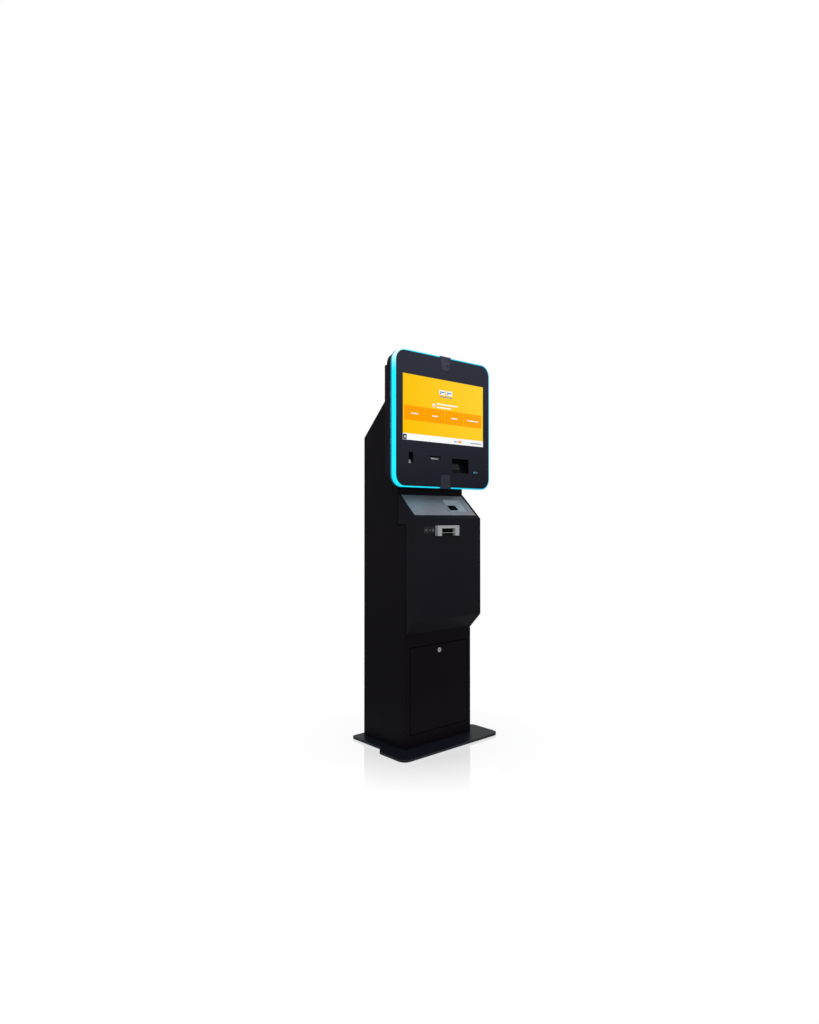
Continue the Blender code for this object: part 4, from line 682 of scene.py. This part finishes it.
# ---- the studio ----
@dataclass
class Studio:
    """A plain white studio: a glossy white floor, soft light, and the camera."""

    eye: Point = (-2.0487, -2.2181, 0.956)
    tilt: float = 90.54
    turn: float = -41.63
    lens: float = 24.18
    floor_size: float = 40.0
    soft: float = 0.14
    mirrored: float = 0.36
    bounce: float = 0.22
    under_mirror: float = 0.64
    mirror_from: float = 0.28
    mirror_to: float = 0.62

    def build(self, shop: Workshop) -> None:
        """Builds the floor, the lights, the world and the camera.

        Args:
            shop: The workshop, which the studio's own materials don't need.
        """
        self.camera()
        self.world()
        self.light("key_softbox", (-1.9, -2.3, 3.3), (0.0, 0.0, 0.9), 1.6, 22.0)
        self.light("side_softbox", (-3.2, 0.6, 1.4), (0.0, 0.0, 0.7), 1.4, 5.0)
        self.light("front_softbox", (1.6, -3.2, 1.8), (0.0, 0.0, 0.9), 1.5, 8.0)
        self.light("rear_softbox", (2.2, 2.6, 2.4), (0.0, 0.0, 0.8), 1.8, 5.0)
        self.floor()
        scene = bpy.context.scene
        scene.view_settings.view_transform = "Standard"
        scene.view_settings.look = "None"

    def camera(self) -> None:
        """Adds the camera at standing height, off the machine's left front."""
        data = bpy.data.cameras.new("main_camera")
        data.lens, data.sensor_width, data.clip_end = self.lens, 36.0, 60.0
        made = bpy.data.objects.new("main_camera", data)
        made.location = self.eye
        made.rotation_euler = (radians(self.tilt), 0.0, radians(self.turn))
        bpy.context.scene.collection.objects.link(made)
        bpy.context.scene.camera = made

    def world(self) -> None:
        """Sets a world that is white to the camera and a softer grey as light."""
        world = bpy.data.worlds.new("studio_world")
        bpy.context.scene.world = world
        world.use_nodes = True
        tree = world.node_tree
        shown = tree.nodes["Background"]
        shown.inputs["Color"].default_value = (1, 1, 1, 1)
        rays = tree.nodes.new("ShaderNodeLightPath")
        level = tree.nodes.new("ShaderNodeMapRange")
        gloss = tree.nodes.new("ShaderNodeMapRange")
        tree.links.new(rays.outputs["Is Glossy Ray"], gloss.inputs["Value"])
        gloss.inputs["To Min"].default_value, gloss.inputs["To Max"].default_value = self.soft, self.mirrored
        tree.links.new(rays.outputs["Is Camera Ray"], level.inputs["Value"])
        tree.links.new(gloss.outputs[0], level.inputs["To Min"])
        level.inputs["To Max"].default_value = 1.0
        tree.links.new(level.outputs[0], shown.inputs["Strength"])

    def light(self, name: str, place: Point, aim: Point, size: float, power: float) -> None:
        """Adds a soft square light.

        Args:
            name: Its name.
            place: Where it hangs.
            aim: The point it faces.
            size: The length of its side.
            power: Its power in watts.
        """
        data = bpy.data.lights.new(name, "AREA")
        data.size, data.energy = size, power
        made = bpy.data.objects.new(name, data)
        made.location = place
        made.rotation_euler = (Vector(aim) - Vector(place)).to_track_quat("-Z", "Y").to_euler()
        bpy.context.scene.collection.objects.link(made)

    def floor(self) -> None:
        """Adds a white floor with a faint mirror image close round the machine's foot."""
        half = self.floor_size / 2
        mesh = Shape().block((-half, -half, -0.02), (half, half, -0.0005)).mesh()
        sketch = Sketch("white_floor")
        low, high = low_high("base_plate")
        away = sketch.node("VectorMath", {0: sketch.place, 1: tuple((low + high) / 2)}, operation="DISTANCE")
        share = sketch.remap(away.outputs["Value"], 0.75, 0.0, self.mirror_from, self.mirror_to)
        seen = sketch.node("LightPath").outputs["Is Camera Ray"]
        plain, under = (sketch.node("Emission", {"Color": (1, 1, 1, 1),
                                                 "Strength": sketch.remap(seen, self.bounce, level)})
                        for level in (1.0, self.under_mirror))
        blur = sketch.remap(sketch.noise(6.0), 0.05, 0.08)
        mirror = sketch.node("BsdfGlossy", {"Color": (0.85, 0.85, 0.86, 1), "Roughness": blur})
        both = sketch.node("AddShader", {0: under.outputs[0], 1: mirror.outputs[0]})
        mixed = sketch.node("MixShader", {0: share, 1: plain.outputs[0], 2: both.outputs[0]})
        sketch.tree.links.new(mixed.outputs[0], sketch.tree.nodes["Material Output"].inputs["Surface"])
        made = bpy.data.objects.new("studio_floor", mesh)
        mesh.materials.append(sketch.material)
        bpy.context.scene.collection.objects.link(made)
        LOG.info("made the studio")


# ---- the machine, dressed ----
def low_high(*nodes: str) -> tuple[Vector, Vector]:
    """The box around some CAD nodes.

    Args:
        *nodes: Their names.

    Returns:
        Its low and its high corner.
    """
    boxes = [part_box(name) for name in nodes]
    low = Vector([min(box[0][i] for box in boxes) for i in range(3)])
    high = Vector([max(box[1][i] for box in boxes) for i in range(3)])
    return low, high


@dataclass
class Column:
    """The painted sheet column on its floor plate."""

    def build(self, shop: Workshop) -> None:
        """Dresses the column's sheets.

        Args:
            shop: The workshop.
        """
        shop.dress(SLATE, "base_plate", bevel=0.0016)
        shop.dress(CHARCOAL, "left_side_panel", "right_side_panel", "back_panel", "sloped_top_panel",
                   "front_frame", "recess_panel", bevel=0.0006)


@dataclass
class LowerDoor:
    """The flush service door low on the column, with its lock."""

    seal_gap: float = 0.0030
    seal_width: float = 0.0070
    seal_front: float = 0.0021
    seal_back: float = 0.0050
    seal_foot: float = 0.025
    seal_head: float = 0.006

    def build(self, shop: Workshop) -> None:
        """Dresses the door and adds the foam seals behind its sides.

        Args:
            shop: The workshop.
        """
        shop.dress(CHARCOAL, "lower_door_panel", bevel=0.0008)
        shop.dress(SILVER, "lower_lock_barrel", "lower_lock_plug", bevel=0.0003)
        low, high = low_high("lower_door_panel")
        seals = Shape()
        for left in (low.x + self.seal_gap, high.x - self.seal_gap - self.seal_width):
            seals.block((left, low.y + self.seal_front, low.z + self.seal_foot),
                        (left + self.seal_width, low.y + self.seal_back, high.z - self.seal_head))
        shop.piece("lower_door_seals", seals.mesh(), RUBBER, Body.LOWER_DOOR, "grey_rubber", bevel=0.0008)


@dataclass
class UpperDoor:
    """The box-shaped upper door."""

    def build(self, shop: Workshop) -> None:
        """Dresses the case and its lock.

        Args:
            shop: The workshop.
        """
        shop.dress(CASE_COAT, "upper_door_case", bevel=0.0012)
        shop.dress(SILVER, "upper_lock_barrel", "upper_lock_plug", bevel=0.0003)


@dataclass
class CardShelf:
    """The slanted steel plate with the card reader in its pocket."""

    mark_gap: float = 0.010
    mark_lift: float = 0.0022
    mark_thick: float = 0.0002
    mark_half: float = 0.004
    mark_rise: float = 0.0035
    mark_stroke: float = 0.0020
    mark_pitch: float = 0.009
    mark_start: float = 0.12

    def build(self, shop: Workshop) -> None:
        """Dresses the plate, the pocket and the reader.

        Args:
            shop: The workshop.
        """
        shop.dress(STEEL, "shelf_plate", bevel=0.0005)
        shop.dress(SILVER, "reader_pocket", "card_reader", bevel=0.0005)
        shop.dress(GLASS, "reader_window", bevel=0.0004)
        self.reader_marks(shop)

    def reader_marks(self, shop: Workshop) -> None:
        """Prints three small arrows beside the pocket, pointing up the slope into the reader.

        Args:
            shop: The workshop.
        """
        low, high = low_high("shelf_plate")
        pocket_low = low_high("reader_pocket")[0]
        up = Vector((0.0, high.y - low.y, high.z - low.z)).normalized()
        out = Vector((1.0, 0.0, 0.0)).cross(up)
        place = Matrix((Vector((1.0, 0.0, 0.0)), up, out)).transposed().to_4x4()
        height = high.z - low.z
        reach = (pocket_low.z - low.z) / height
        along = (height / up.z) * (reach + self.mark_start)
        start = Vector((pocket_low.x - self.mark_gap, low.y, low.z)) + up * along
        place.translation = start + out * self.mark_lift
        arrows = Shape()
        for k in range(3):
            foot = self.mark_pitch * k
            tip, top = foot + self.mark_rise, foot + self.mark_stroke
            arrows.plate([(-self.mark_half, foot), (0.0, tip), (self.mark_half, foot), (self.mark_half, top),
                          (0.0, tip + self.mark_stroke), (-self.mark_half, top)], place, self.mark_thick)
        shop.piece("reader_arrows", arrows.mesh(), BLACK, Body.UPPER_DOOR, "black_plastic")


@dataclass
class NoteInlet:
    """The silver mouth that takes the notes, its bright lip, and the pictogram plate beside it."""

    print_thick: float = 0.0001
    note: Flat = (0.0160, 0.0090)
    note_line: float = 0.0008
    seal: float = 0.0020
    arrow_shaft: Flat = (0.006, 0.0008)
    arrow_head: Flat = (0.005, 0.0030)
    sheet: Flat = (0.0100, 0.0014)
    sheet_levels: tuple[float, ...] = (-0.0040, -0.0013, 0.0014, 0.0041)

    def build(self, shop: Workshop) -> None:
        """Dresses the inlet.

        Args:
            shop: The workshop.
        """
        shop.dress(SILVER, "inlet_surround", bevel=0.0008)
        shop.dress(BRIGHT, "inlet_lip", bevel=0.0004)
        shop.dress(BLACK, "note_head", bevel=0.0008)
        shop.dress(PLATE, "pictogram_plate", bevel=0.0003)
        self.pictograms(shop)

    def pictograms(self, shop: Workshop) -> None:
        """Prints a note, an arrow and a stack of notes on the plate.

        Args:
            shop: The workshop.
        """
        low, high = low_high("pictogram_plate")
        middle, face = (low.z + high.z) / 2, facing_front(low.y)
        note, tip, stack = (low.x + share * (high.x - low.x) for share in (0.22, 0.58, 0.84))
        signs = Shape()
        wide, tall = self.note
        rim = 2 * self.note_line
        outer = around(note, middle, wide, tall, 0.001)
        inner = around(note, middle, wide - rim, tall - rim, 0.0005)
        signs.ring(outer, inner, face, self.print_thick)
        signs.plate(circle((note, middle), self.seal), face, self.print_thick)
        (shaft, thin), (point, broad) = self.arrow_shaft, self.arrow_head
        arrow = [(-shaft, -thin), (0.0, -thin), (0.0, -broad), (point, 0.0), (0.0, broad), (0.0, thin),
                 (-shaft, thin)]
        signs.plate([(tip + x, middle + z) for x, z in arrow], face, self.print_thick)
        for level in self.sheet_levels:
            signs.plate(around(stack, middle + level, *self.sheet, 0.0004), face, self.print_thick)
        shop.piece("inlet_pictograms", signs.mesh(), PRINT, Body.UPPER_DOOR, "clip_plastic")


@dataclass
class HeadCase:
    """The steel tray and box behind the head's front."""

    def build(self, shop: Workshop) -> None:
        """Dresses the tray and the box.

        Args:
            shop: The workshop.
        """
        shop.dress(CASE_COAT, "head_tray", "head_box", bevel=0.0010)


@dataclass
class HeadFront:
    """The moulded front, its lit edge, the two clips over the edge, and the small devices in it."""

    hot: Colour = (0.86, 1.0, 1.0)
    glow: Colour = (0.0, 0.80, 1.0)
    dim: Colour = (0.0, 0.42, 0.66)
    corner_reach: float = 0.10
    lit_share: float = 0.74
    lit_fade: float = 0.04
    # the painted highlight bar at the receipt mouth: its share of the throat's width, its top and foot below
    # the paper, and its thickness
    highlight_share: float = 0.58
    highlight_top: float = 0.0030
    highlight_foot: float = 0.0052
    highlight_thick: float = 0.0012
    mark_thick: float = 0.0002
    dot_in: float = 0.0075
    dot_radius: float = 0.0040
    bars_in: float = 0.0140

    def build(self, shop: Workshop) -> None:
        """Dresses the front.

        Args:
            shop: The workshop.
        """
        low, high = low_high("light_ring")
        depth = high.y - low.y
        front = low.y + (self.lit_share - self.lit_fade) * depth
        back = low.y + (self.lit_share + self.lit_fade) * depth
        edge = EdgeLight("lit_edge", self.hot, self.glow, self.dim, (low.x, low.y, high.z), self.corner_reach,
                         low.x, high.x, front, back)
        shop.dress(edge, "light_ring", bevel=0.0012)
        shop.dress(BEZEL, "bezel", bevel=0.0022)
        shop.dress(CLIP, "upper_clip", "lower_clip", bevel=0.0010)
        shop.dress(GLASS, "display_glass", "scanner_window", "camera_lens")
        shop.dress(BLACK, "camera_module", "finger_guide", "receipt_throat", "scanner_hood", bevel=0.0006)
        shop.dress(BLACK, "display_module", "printer_case", bevel=0.0008)
        shop.dress(PAPER, "receipt_paper", "paper_roll")
        shop.dress(RUBBER, "platen_roller")
        shop.dress(SILVER, "finger_sensor", bevel=0.0003)
        shop.dress(BEZEL, "badge", bevel=0.0003)
        self.badge_mark(shop)
        self.slot_highlight(shop)

    def slot_highlight(self, shop: Workshop) -> None:
        """Adds a glowing bar at the receipt mouth's lower edge: a painted highlight that stands in for the
        lit edge of the receipt paper, not a lamp.

        Args:
            shop: The workshop.
        """
        low, high = low_high("receipt_throat")
        paper = low_high("receipt_paper")[0]
        middle, half = (low.x + high.x) / 2, (high.x - low.x) * self.highlight_share / 2
        foot, top = paper.z - self.highlight_foot, paper.z - self.highlight_top
        outline = rounded(middle - half, foot, middle + half, top, 0.0010)
        bar = Shape().plate(outline, facing_front(low.y + 0.0002), self.highlight_thick)
        # painted highlight: the bar glows in place of light on the paper's edge
        highlight = Lit("painted_slot_highlight", (0.80, 0.86, 0.92), (0.60, 0.66, 0.72), (middle - half, low.y, low.z),
                   (middle + half, low.y, low.z), 0.8)
        shop.piece("painted_slot_highlight", bar.mesh(), highlight, Body.HEAD_DOOR, "black_plastic")

    def badge_mark(self, shop: Workshop) -> None:
        """Prints a plain dot and two bars on the badge; the printed dot glows in the signal finish, a painted
        glow.

        Args:
            shop: The workshop.
        """
        low, high = low_high("badge")
        middle, face = (low.z + high.z) / 2, facing_front(low.y)
        dot = Shape().plate(circle((low.x + self.dot_in, middle), self.dot_radius), face, self.mark_thick)
        # painted glow: the printed dot takes the emitting signal finish
        shop.piece("badge_dot", dot.mesh(), SIGNAL, Body.HEAD_DOOR, "clip_plastic")
        left, bars = low.x + self.bars_in, Shape()
        for foot, right, top in ((0.0006, 0.0040, 0.0034), (-0.0034, 0.0100, -0.0010)):
            outline = rounded(left, middle + foot, high.x - right, middle + top, 0.0008)
            bars.plate(outline, face, self.mark_thick)
        shop.piece("badge_bars", bars.mesh(), PRINT, Body.HEAD_DOOR, "clip_plastic")


@dataclass
class ScreenPicture:
    """A plain start picture: a warm ground, two icons, a greeting mark, four buttons and a status bar.

    Places are shares of the screen's width and height. The lift, the step and the mark's radius are metres.
    """

    lift: float = 0.0004
    step: float = 0.00025
    ground: Colour = (1.0, 0.545, 0.0)
    # painted reflection: the ground and the button rims brighten from the screen's lower left to this sheen
    # at its top right
    sheen: Colour = (1.0, 0.660, 0.035)
    button: Colour = (1.0, 0.345, 0.0)
    button_edge: Colour = (1.0, 0.400, 0.006)
    margin: float = 0.004
    first_button: float = 0.026
    button_pitch: float = 0.238
    button_wide: float = 0.232
    button_tall: Flat = (0.690, 0.480)
    rim: Flat = (0.003, 0.006)
    labels: tuple[float, ...] = (0.34, 0.30, 0.34, 0.62)
    label_tall: Flat = (0.596, 0.581)
    bar_top: float = 0.893
    card: Share = (0.432, 0.245, 0.504, 0.172)
    card_stripe: Share = (0.438, 0.212, 0.498, 0.196)
    card_chip: Share = (0.438, 0.236, 0.456, 0.221)
    card_pitch: float = 0.088
    rule: Share = (0.440, 0.282, 0.590, 0.270)
    mark: Flat = (0.366, 0.425)
    mark_radius: float = 0.0088
    greeting: tuple[Share, ...] = ((0.402, 0.404, 0.660, 0.384), (0.402, 0.454, 0.578, 0.434))
    back_button: Share = (0.012, 0.985, 0.052, 0.905)
    back_arrow: tuple[Flat, ...] = ((0.038, 0.922), (0.038, 0.968), (0.022, 0.945))
    bar_signs: tuple[Share, ...] = ((0.612, 0.956, 0.652, 0.934), (0.820, 0.956, 0.972, 0.936))
    bar_accent: Share = (0.664, 0.960, 0.712, 0.930)
    low: Vector = field(init=False)
    high: Vector = field(init=False)

    def __post_init__(self) -> None:
        """Reads where the cover glass is."""
        self.low, self.high = low_high("display_glass")

    def build(self, shop: Workshop) -> None:
        """Builds the lit picture in front of the cover glass.

        Args:
            shop: The workshop.
        """
        left, right = self.point(0.0, 1.0), self.point(1.0, 0.0)
        # the ground fades to the painted sheen, a painted reflection at the top right
        ground = Lit("warm_ground", self.ground, self.sheen, left, right, 1.0)
        far = 1.0 - self.margin
        whole = rounded(*self.at(self.margin, far, far, self.margin), 0.001)
        self.panel(shop, "picture_ground", [whole], ground, 0)
        white = Lit("picture_white", (1.0, 1.0, 1.0), (0.90, 0.93, 0.95), left, right, 1.0)
        edge = Lit("button_edge", self.button_edge, self.sheen, left, right, 1.0)
        orange = Lit("button_orange", self.button, self.button_edge, left, right)
        (low, high), (side, over) = self.button_tall, self.rim
        buttons, rims, labels = [], [], []
        for k, share in enumerate(self.labels):
            start = self.first_button + self.button_pitch * k
            middle, end = start + self.button_wide / 2, start + self.button_wide
            half = self.button_wide / 2 * share
            buttons.append(rounded(*self.at(start, low, end, high), 0.002))
            rims.append(rounded(*self.at(start - side, low + over, end + side, high - over), 0.003))
            foot, top = self.label_tall
            labels.append(rounded(*self.at(middle - half, foot, middle + half, top), 0.001, 2))
        self.panel(shop, "button_rims", rims, edge, 1)
        self.panel(shop, "buttons", buttons, orange, 2)
        self.panel(shop, "button_labels", labels, white, 3)
        bar = rounded(*self.at(self.margin, far, far, self.bar_top), 0.0005)
        self.panel(shop, "status_bar", [bar], white, 1)
        self.icons(shop, white, left, right)

    def at(self, left: float, foot: float, right: float, top: float) -> tuple[float, float, float, float]:
        """Turns shares across and down the screen into metres: left, foot, right, top.

        Args:
            left: Its left side, from the screen's left.
            foot: Its foot, from the screen's top.
            right: Its right side.
            top: Its top.

        Returns:
            The four in the machine's frame.
        """
        (x0, z1), (x1, z0) = self.flat(left, top), self.flat(right, foot)
        return x0, z0, x1, z1

    def bars(self, shares: tuple[Share, ...], radius: float = 0.0005, steps: int = 2) -> list[list[Flat]]:
        """The round-cornered outlines of some boxes on the screen.

        Args:
            shares: The boxes.
            radius: Their corners' radius in metres.
            steps: Straight pieces in each corner.

        Returns:
            Their outlines.
        """
        return [rounded(*self.at(*share), radius, steps) for share in shares]

    def pair(self, share: Share) -> tuple[Share, Share]:
        """A box on the first card, and the same on the second."""
        left, foot, right, top = share
        return share, (left + self.card_pitch, foot, right + self.card_pitch, top)

    def flat(self, across: float, down: float) -> Flat:
        """A point of the screen as x and z, from shares across and down."""
        size = self.high - self.low
        return self.low.x + across * size.x, self.high.z - down * size.z

    def point(self, across: float, down: float) -> Point:
        """The same with the glass's own y."""
        x, z = self.flat(across, down)
        return (x, self.low.y, z)

    def panel(self, shop: Workshop, name: str, outlines: list[list[Flat]], finish: Finish,
              layer: int) -> None:
        """Adds one flat layer of the picture.

        Args:
            shop: The workshop.
            name: The layer's name.
            outlines: The outlines in it.
            finish: Its finish.
            layer: How many layers lie under it.
        """
        shape = Shape()
        for outline in outlines:
            shape.plate(outline, facing_front(self.low.y - self.lift - layer * self.step), self.step * 0.6)
        shop.piece(name, shape.mesh(), finish, Body.HEAD_DOOR, "dark_glass")

    def icons(self, shop: Workshop, white: Lit, left: Point, right: Point) -> None:
        """Adds the two small icons above, the mark with its two lines of greeting, and the bar's signs.

        Args:
            shop: The workshop.
            white: The white finish.
            left: The screen's lower left corner.
            right: Its upper right corner.
        """
        blue = Lit("picture_blue", (0.02, 0.16, 0.55), (0.02, 0.22, 0.62), left, right)
        grey = Lit("picture_grey", (0.42, 0.45, 0.50), (0.36, 0.38, 0.42), left, right)
        dark = Lit("picture_ink", (0.02, 0.03, 0.06), (0.03, 0.05, 0.09), left, right)
        amber = Lit("picture_amber", (1.0, 0.30, 0.0), (1.0, 0.36, 0.01), left, right)
        self.panel(shop, "icon_cards", self.bars(self.pair(self.card), 0.001), white, 1)
        printed = self.pair(self.card_stripe) + self.pair(self.card_chip)
        self.panel(shop, "icon_stripes", self.bars(printed), blue, 2)
        self.panel(shop, "icon_rule", self.bars((self.rule,)), blue, 1)
        x, z = self.flat(*self.mark)
        self.panel(shop, "greeting_mark", [circle((x, z), self.mark_radius, 28)], white, 1)
        head = circle((x, z + 0.0022), 0.0028, 20)
        shoulders = around(x, z - 0.0038, 0.0090, 0.0040, 0.0018, 4)
        self.panel(shop, "greeting_mark_core", [head, shoulders], amber, 2)
        self.panel(shop, "greeting_lines", self.bars(self.greeting, 0.001), white, 1)
        self.panel(shop, "bar_button", self.bars((self.back_button,), 0.002, 4), dark, 2)
        self.panel(shop, "bar_arrow", [[self.flat(*corner) for corner in self.back_arrow]], white, 3)
        self.panel(shop, "bar_signs", self.bars(self.bar_signs, 0.0008), grey, 2)
        self.panel(shop, "bar_accent", self.bars((self.bar_accent,), 0.0008), amber, 2)


@dataclass
class Interior:
    """What stands inside the column."""

    card: Flat = (0.082, 0.030)
    card_down: float = 0.041
    card_rim: float = 0.004
    latch_in: float = 0.018
    latch_down: float = 0.040
    joint_shares: tuple[float, ...] = (0.22, 0.41, 0.60, 0.79)
    joint_in: float = 0.004
    joint_wide: float = 0.0016
    knob_in: float = 0.026
    knob_up: float = 0.30
    lamp_in: float = 0.016
    lamp_pitch: float = 0.009
    lamp_down: float = 0.050
    port_depth: float = 0.012
    port_drop: float = 0.003
    ports_across: tuple[Flat, ...] = ((-0.070, 0.016), (-0.046, 0.014), (-0.026, 0.014), (-0.004, 0.032),
                                      (0.040, 0.018))
    strip_in: float = 0.012
    strip_up: Flat = (0.010, 0.024)
    strip_proud: float = 0.004
    terminals: int = 6
    terminal_in: float = 0.017

    def build(self, shop: Workshop) -> None:
        """Dresses the machines inside.

        Args:
            shop: The workshop.
        """
        shop.dress(ZINC, "equipment_shelf", bevel=0.0004)
        shop.dress(ZINC, "upper_hinge_rod", "lower_hinge_rod", "head_hinge_rod", bevel=0.0004)
        shop.dress(ZINC, *(f"anchor_bolt_{k}" for k in range(1, 5)), bevel=0.0004)
        shop.dress(BLACK, "note_unit", "cash_cassette", "cassette_handle", "power_inlet", "power_rocker",
                   "cable_gland", "fan_housing", "fan_rotor", bevel=0.0006)
        shop.dress(ZINC, "computer", "power_supply", "fan_guard", bevel=0.0008)
        self.cassette_front(shop)
        self.transport(shop)
        self.ports(shop)

    def cassette_front(self, shop: Workshop) -> None:
        """Adds a blank card in its frame and two latch buttons to the cassette's front.

        Args:
            shop: The workshop.
        """
        low, high = low_high("cash_cassette")
        face, middle = facing_front(low.y), high.z - self.card_down
        wide, tall = self.card
        outer = around(0.0, middle, wide + 2 * self.card_rim, tall + 2 * self.card_rim, 0.003)
        surround = Shape().ring(outer, around(0.0, middle, wide, tall, 0.001), face, 0.0012)
        shop.piece("cassette_card_frame", surround.mesh(), PLATE, Body.CABINET, "black_plastic", bevel=0.0003)
        card = Shape().plate(around(0.0, middle, wide - 0.001, tall - 0.001, 0.001), face, 0.0004)
        shop.piece("cassette_card", card.mesh(), PAPER, Body.CABINET, "white_paper")
        latches = Shape()
        for x in (low.x + self.latch_in, high.x - self.latch_in):
            z = high.z - self.latch_down
            latches.disc((x, low.y, z), (0, -1, 0), 0.0070, 0.0010, 28)
            latches.disc((x, low.y - 0.0010, z), (0, -1, 0), 0.0055, 0.0022, 28, 0.0048)
        shop.piece("cassette_latches", latches.mesh(), SILVER, Body.CABINET, "satin_silver", smooth=True)

    def transport(self, shop: Workshop) -> None:
        """Adds the note unit's panel joints, its two release knobs and its state lamps.

        Args:
            shop: The workshop.
        """
        low, high = low_high("note_unit")
        joints = Shape()
        across, wide = (low.x + high.x) / 2, high.x - low.x - 2 * self.joint_in
        for share in self.joint_shares:
            level = low.z + share * (high.z - low.z)
            joints.plate(around(across, level, wide, self.joint_wide, 0.0006), facing_front(low.y), 0.0006)
        shop.piece("note_unit_joints", joints.mesh(), PLATE, Body.CABINET, "black_plastic")
        knobs = Shape()
        for x in (low.x + self.knob_in, high.x - self.knob_in):
            knobs.disc((x, low.y, low.z + self.knob_up), (0, -1, 0), 0.0100, 0.0050, 12, 0.0090)
        green = Matt("release_green", (0.02, 0.22, 0.08), (0.015, 0.16, 0.06), 0.5)
        shop.piece("note_unit_knobs", knobs.mesh(), green, Body.CABINET, "black_plastic", bevel=0.0005)
        lamps = Shape()
        for k in range(3):
            x, z = high.x - self.lamp_in - self.lamp_pitch * k, high.z - self.lamp_down
            lamps.disc((x, low.y, z), (0, -1, 0), 0.0022, 0.0012, 16, 0.0016)
        shop.piece("note_unit_lamps", lamps.mesh(), SIGNAL, Body.CABINET, "black_plastic", smooth=True)

    def ports(self, shop: Workshop) -> None:
        """Adds the connectors under the computer, and the terminals on the power supply.

        Args:
            shop: The workshop.
        """
        low, high = low_high("computer")
        front, below = (low.y + high.y - self.port_depth) / 2, low.z - self.port_drop
        sockets = Shape()
        for start, wide in self.ports_across:
            sockets.block((start, front, below), (start + wide, front + self.port_depth, low.z + 0.0001))
        shop.piece("computer_ports", sockets.mesh(), SILVER, Body.CABINET, "satin_silver", bevel=0.0006)
        low, high = low_high("power_supply")
        foot, top = low.z + self.strip_up[0], low.z + self.strip_up[1]
        strip = Shape().block((low.x + self.strip_in, low.y - self.strip_proud, foot),
                              (high.x - self.strip_in, low.y + 0.0001, top))
        shop.piece("supply_terminals", strip.mesh(), BLACK, Body.CABINET, "black_plastic", bevel=0.0005)
        first, last = low.x + self.terminal_in, high.x - self.terminal_in
        screws = Shape()
        for k in range(self.terminals):
            x = first + (last - first) * k / (self.terminals - 1)
            place = (x, low.y - self.strip_proud, (foot + top) / 2)
            screws.disc(place, (0, -1, 0), 0.0032, 0.0012, 16, 0.0024)
        shop.piece("supply_screws", screws.mesh(), ZINC, Body.CABINET, "zinc", smooth=True)


@dataclass
class BackFittings:
    """The screws that hold the back panel and the head's case, and a blank rating plate."""

    rows: int = 6
    inset: float = 0.014
    head: float = 0.0046
    plate: Flat = (0.072, 0.044)
    plate_thick: float = 0.0006
    plate_from: Flat = (0.09, 0.36)
    rules: int = 5
    rule_pitch: float = 0.0065

    def build(self, shop: Workshop) -> None:
        """Adds the screws, the plate and the head case's screws.

        Args:
            shop: The workshop.
        """
        low, high = low_high("back_panel")
        screws = Shape()
        for k in range(self.rows):
            z = low.z + self.inset + (high.z - low.z - 2 * self.inset) * k / (self.rows - 1)
            for x in (low.x + self.inset, high.x - self.inset):
                self.screw(screws, (x, high.y, z))
        shop.piece("back_screws", screws.mesh(), ZINC, Body.CABINET, "zinc", smooth=True)
        low, high = low_high("head_box")
        corners = Shape()
        for x in (low.x + self.inset, high.x - self.inset):
            for z in (low.z + self.inset, high.z - self.inset):
                self.screw(corners, (x, high.y, z))
        shop.piece("head_case_screws", corners.mesh(), ZINC, Body.CABINET, "zinc", smooth=True)
        self.rating_plate(shop)

    def screw(self, shape: Shape, foot: Point) -> None:
        """Adds one pan-head screw: a washer, a domed head and a raised cross in it.

        Args:
            shape: The shape it joins.
            foot: Where it stands on the back.
        """
        x, y, z = foot
        shape.disc((x, y, z), (0, 1, 0), self.head * 1.35, 0.0006, 24)
        shape.disc((x, y + 0.0006, z), (0, 1, 0), self.head, 0.0010, 24)
        shape.disc((x, y + 0.0016, z), (0, 1, 0), self.head, 0.0009, 24, self.head * 0.62)

    def rating_plate(self, shop: Workshop) -> None:
        """Adds a blank metal plate with plain rules where a maker's data would be.

        Args:
            shop: The workshop.
        """
        low, high = low_high("back_panel")
        across, up = (low.x + high.x) / 2 + self.plate_from[0], low.z + self.plate_from[1]
        plate = Shape().plate(around(-across, up, *self.plate, 0.003), facing_back(high.y), self.plate_thick)
        shop.piece("rating_plate", plate.mesh(), SILVER, Body.CABINET, "satin_silver", bevel=0.0002)
        left, rules = -across - self.plate[0] / 2 + 0.006, Shape()
        for k in range(self.rules):
            level, wide = up + self.rule_pitch * (2 - k), 0.060 - 0.009 * (k % 3)
            rules.plate(rounded(left, level - 0.0006, left + wide, level + 0.0006, 0.0003),
                        facing_back(high.y + self.plate_thick), 0.0001)
        shop.piece("rating_rules", rules.mesh(), BLACK, Body.CABINET, "black_plastic")


def main() -> None:
    """Builds every part in order."""
    logging.basicConfig(level=logging.INFO, format="%(message)s")
    shop = Workshop()
    for part in (Studio, Column, LowerDoor, UpperDoor, CardShelf, NoteInlet, HeadCase, HeadFront,
                 ScreenPicture, Interior, BackFittings):
        part().build(shop)
    bare = [name for name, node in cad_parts.items() if not node.data.materials]
    LOG.info("nodes with no finish: %s", bare)


if __name__ == "__main__":
    main()
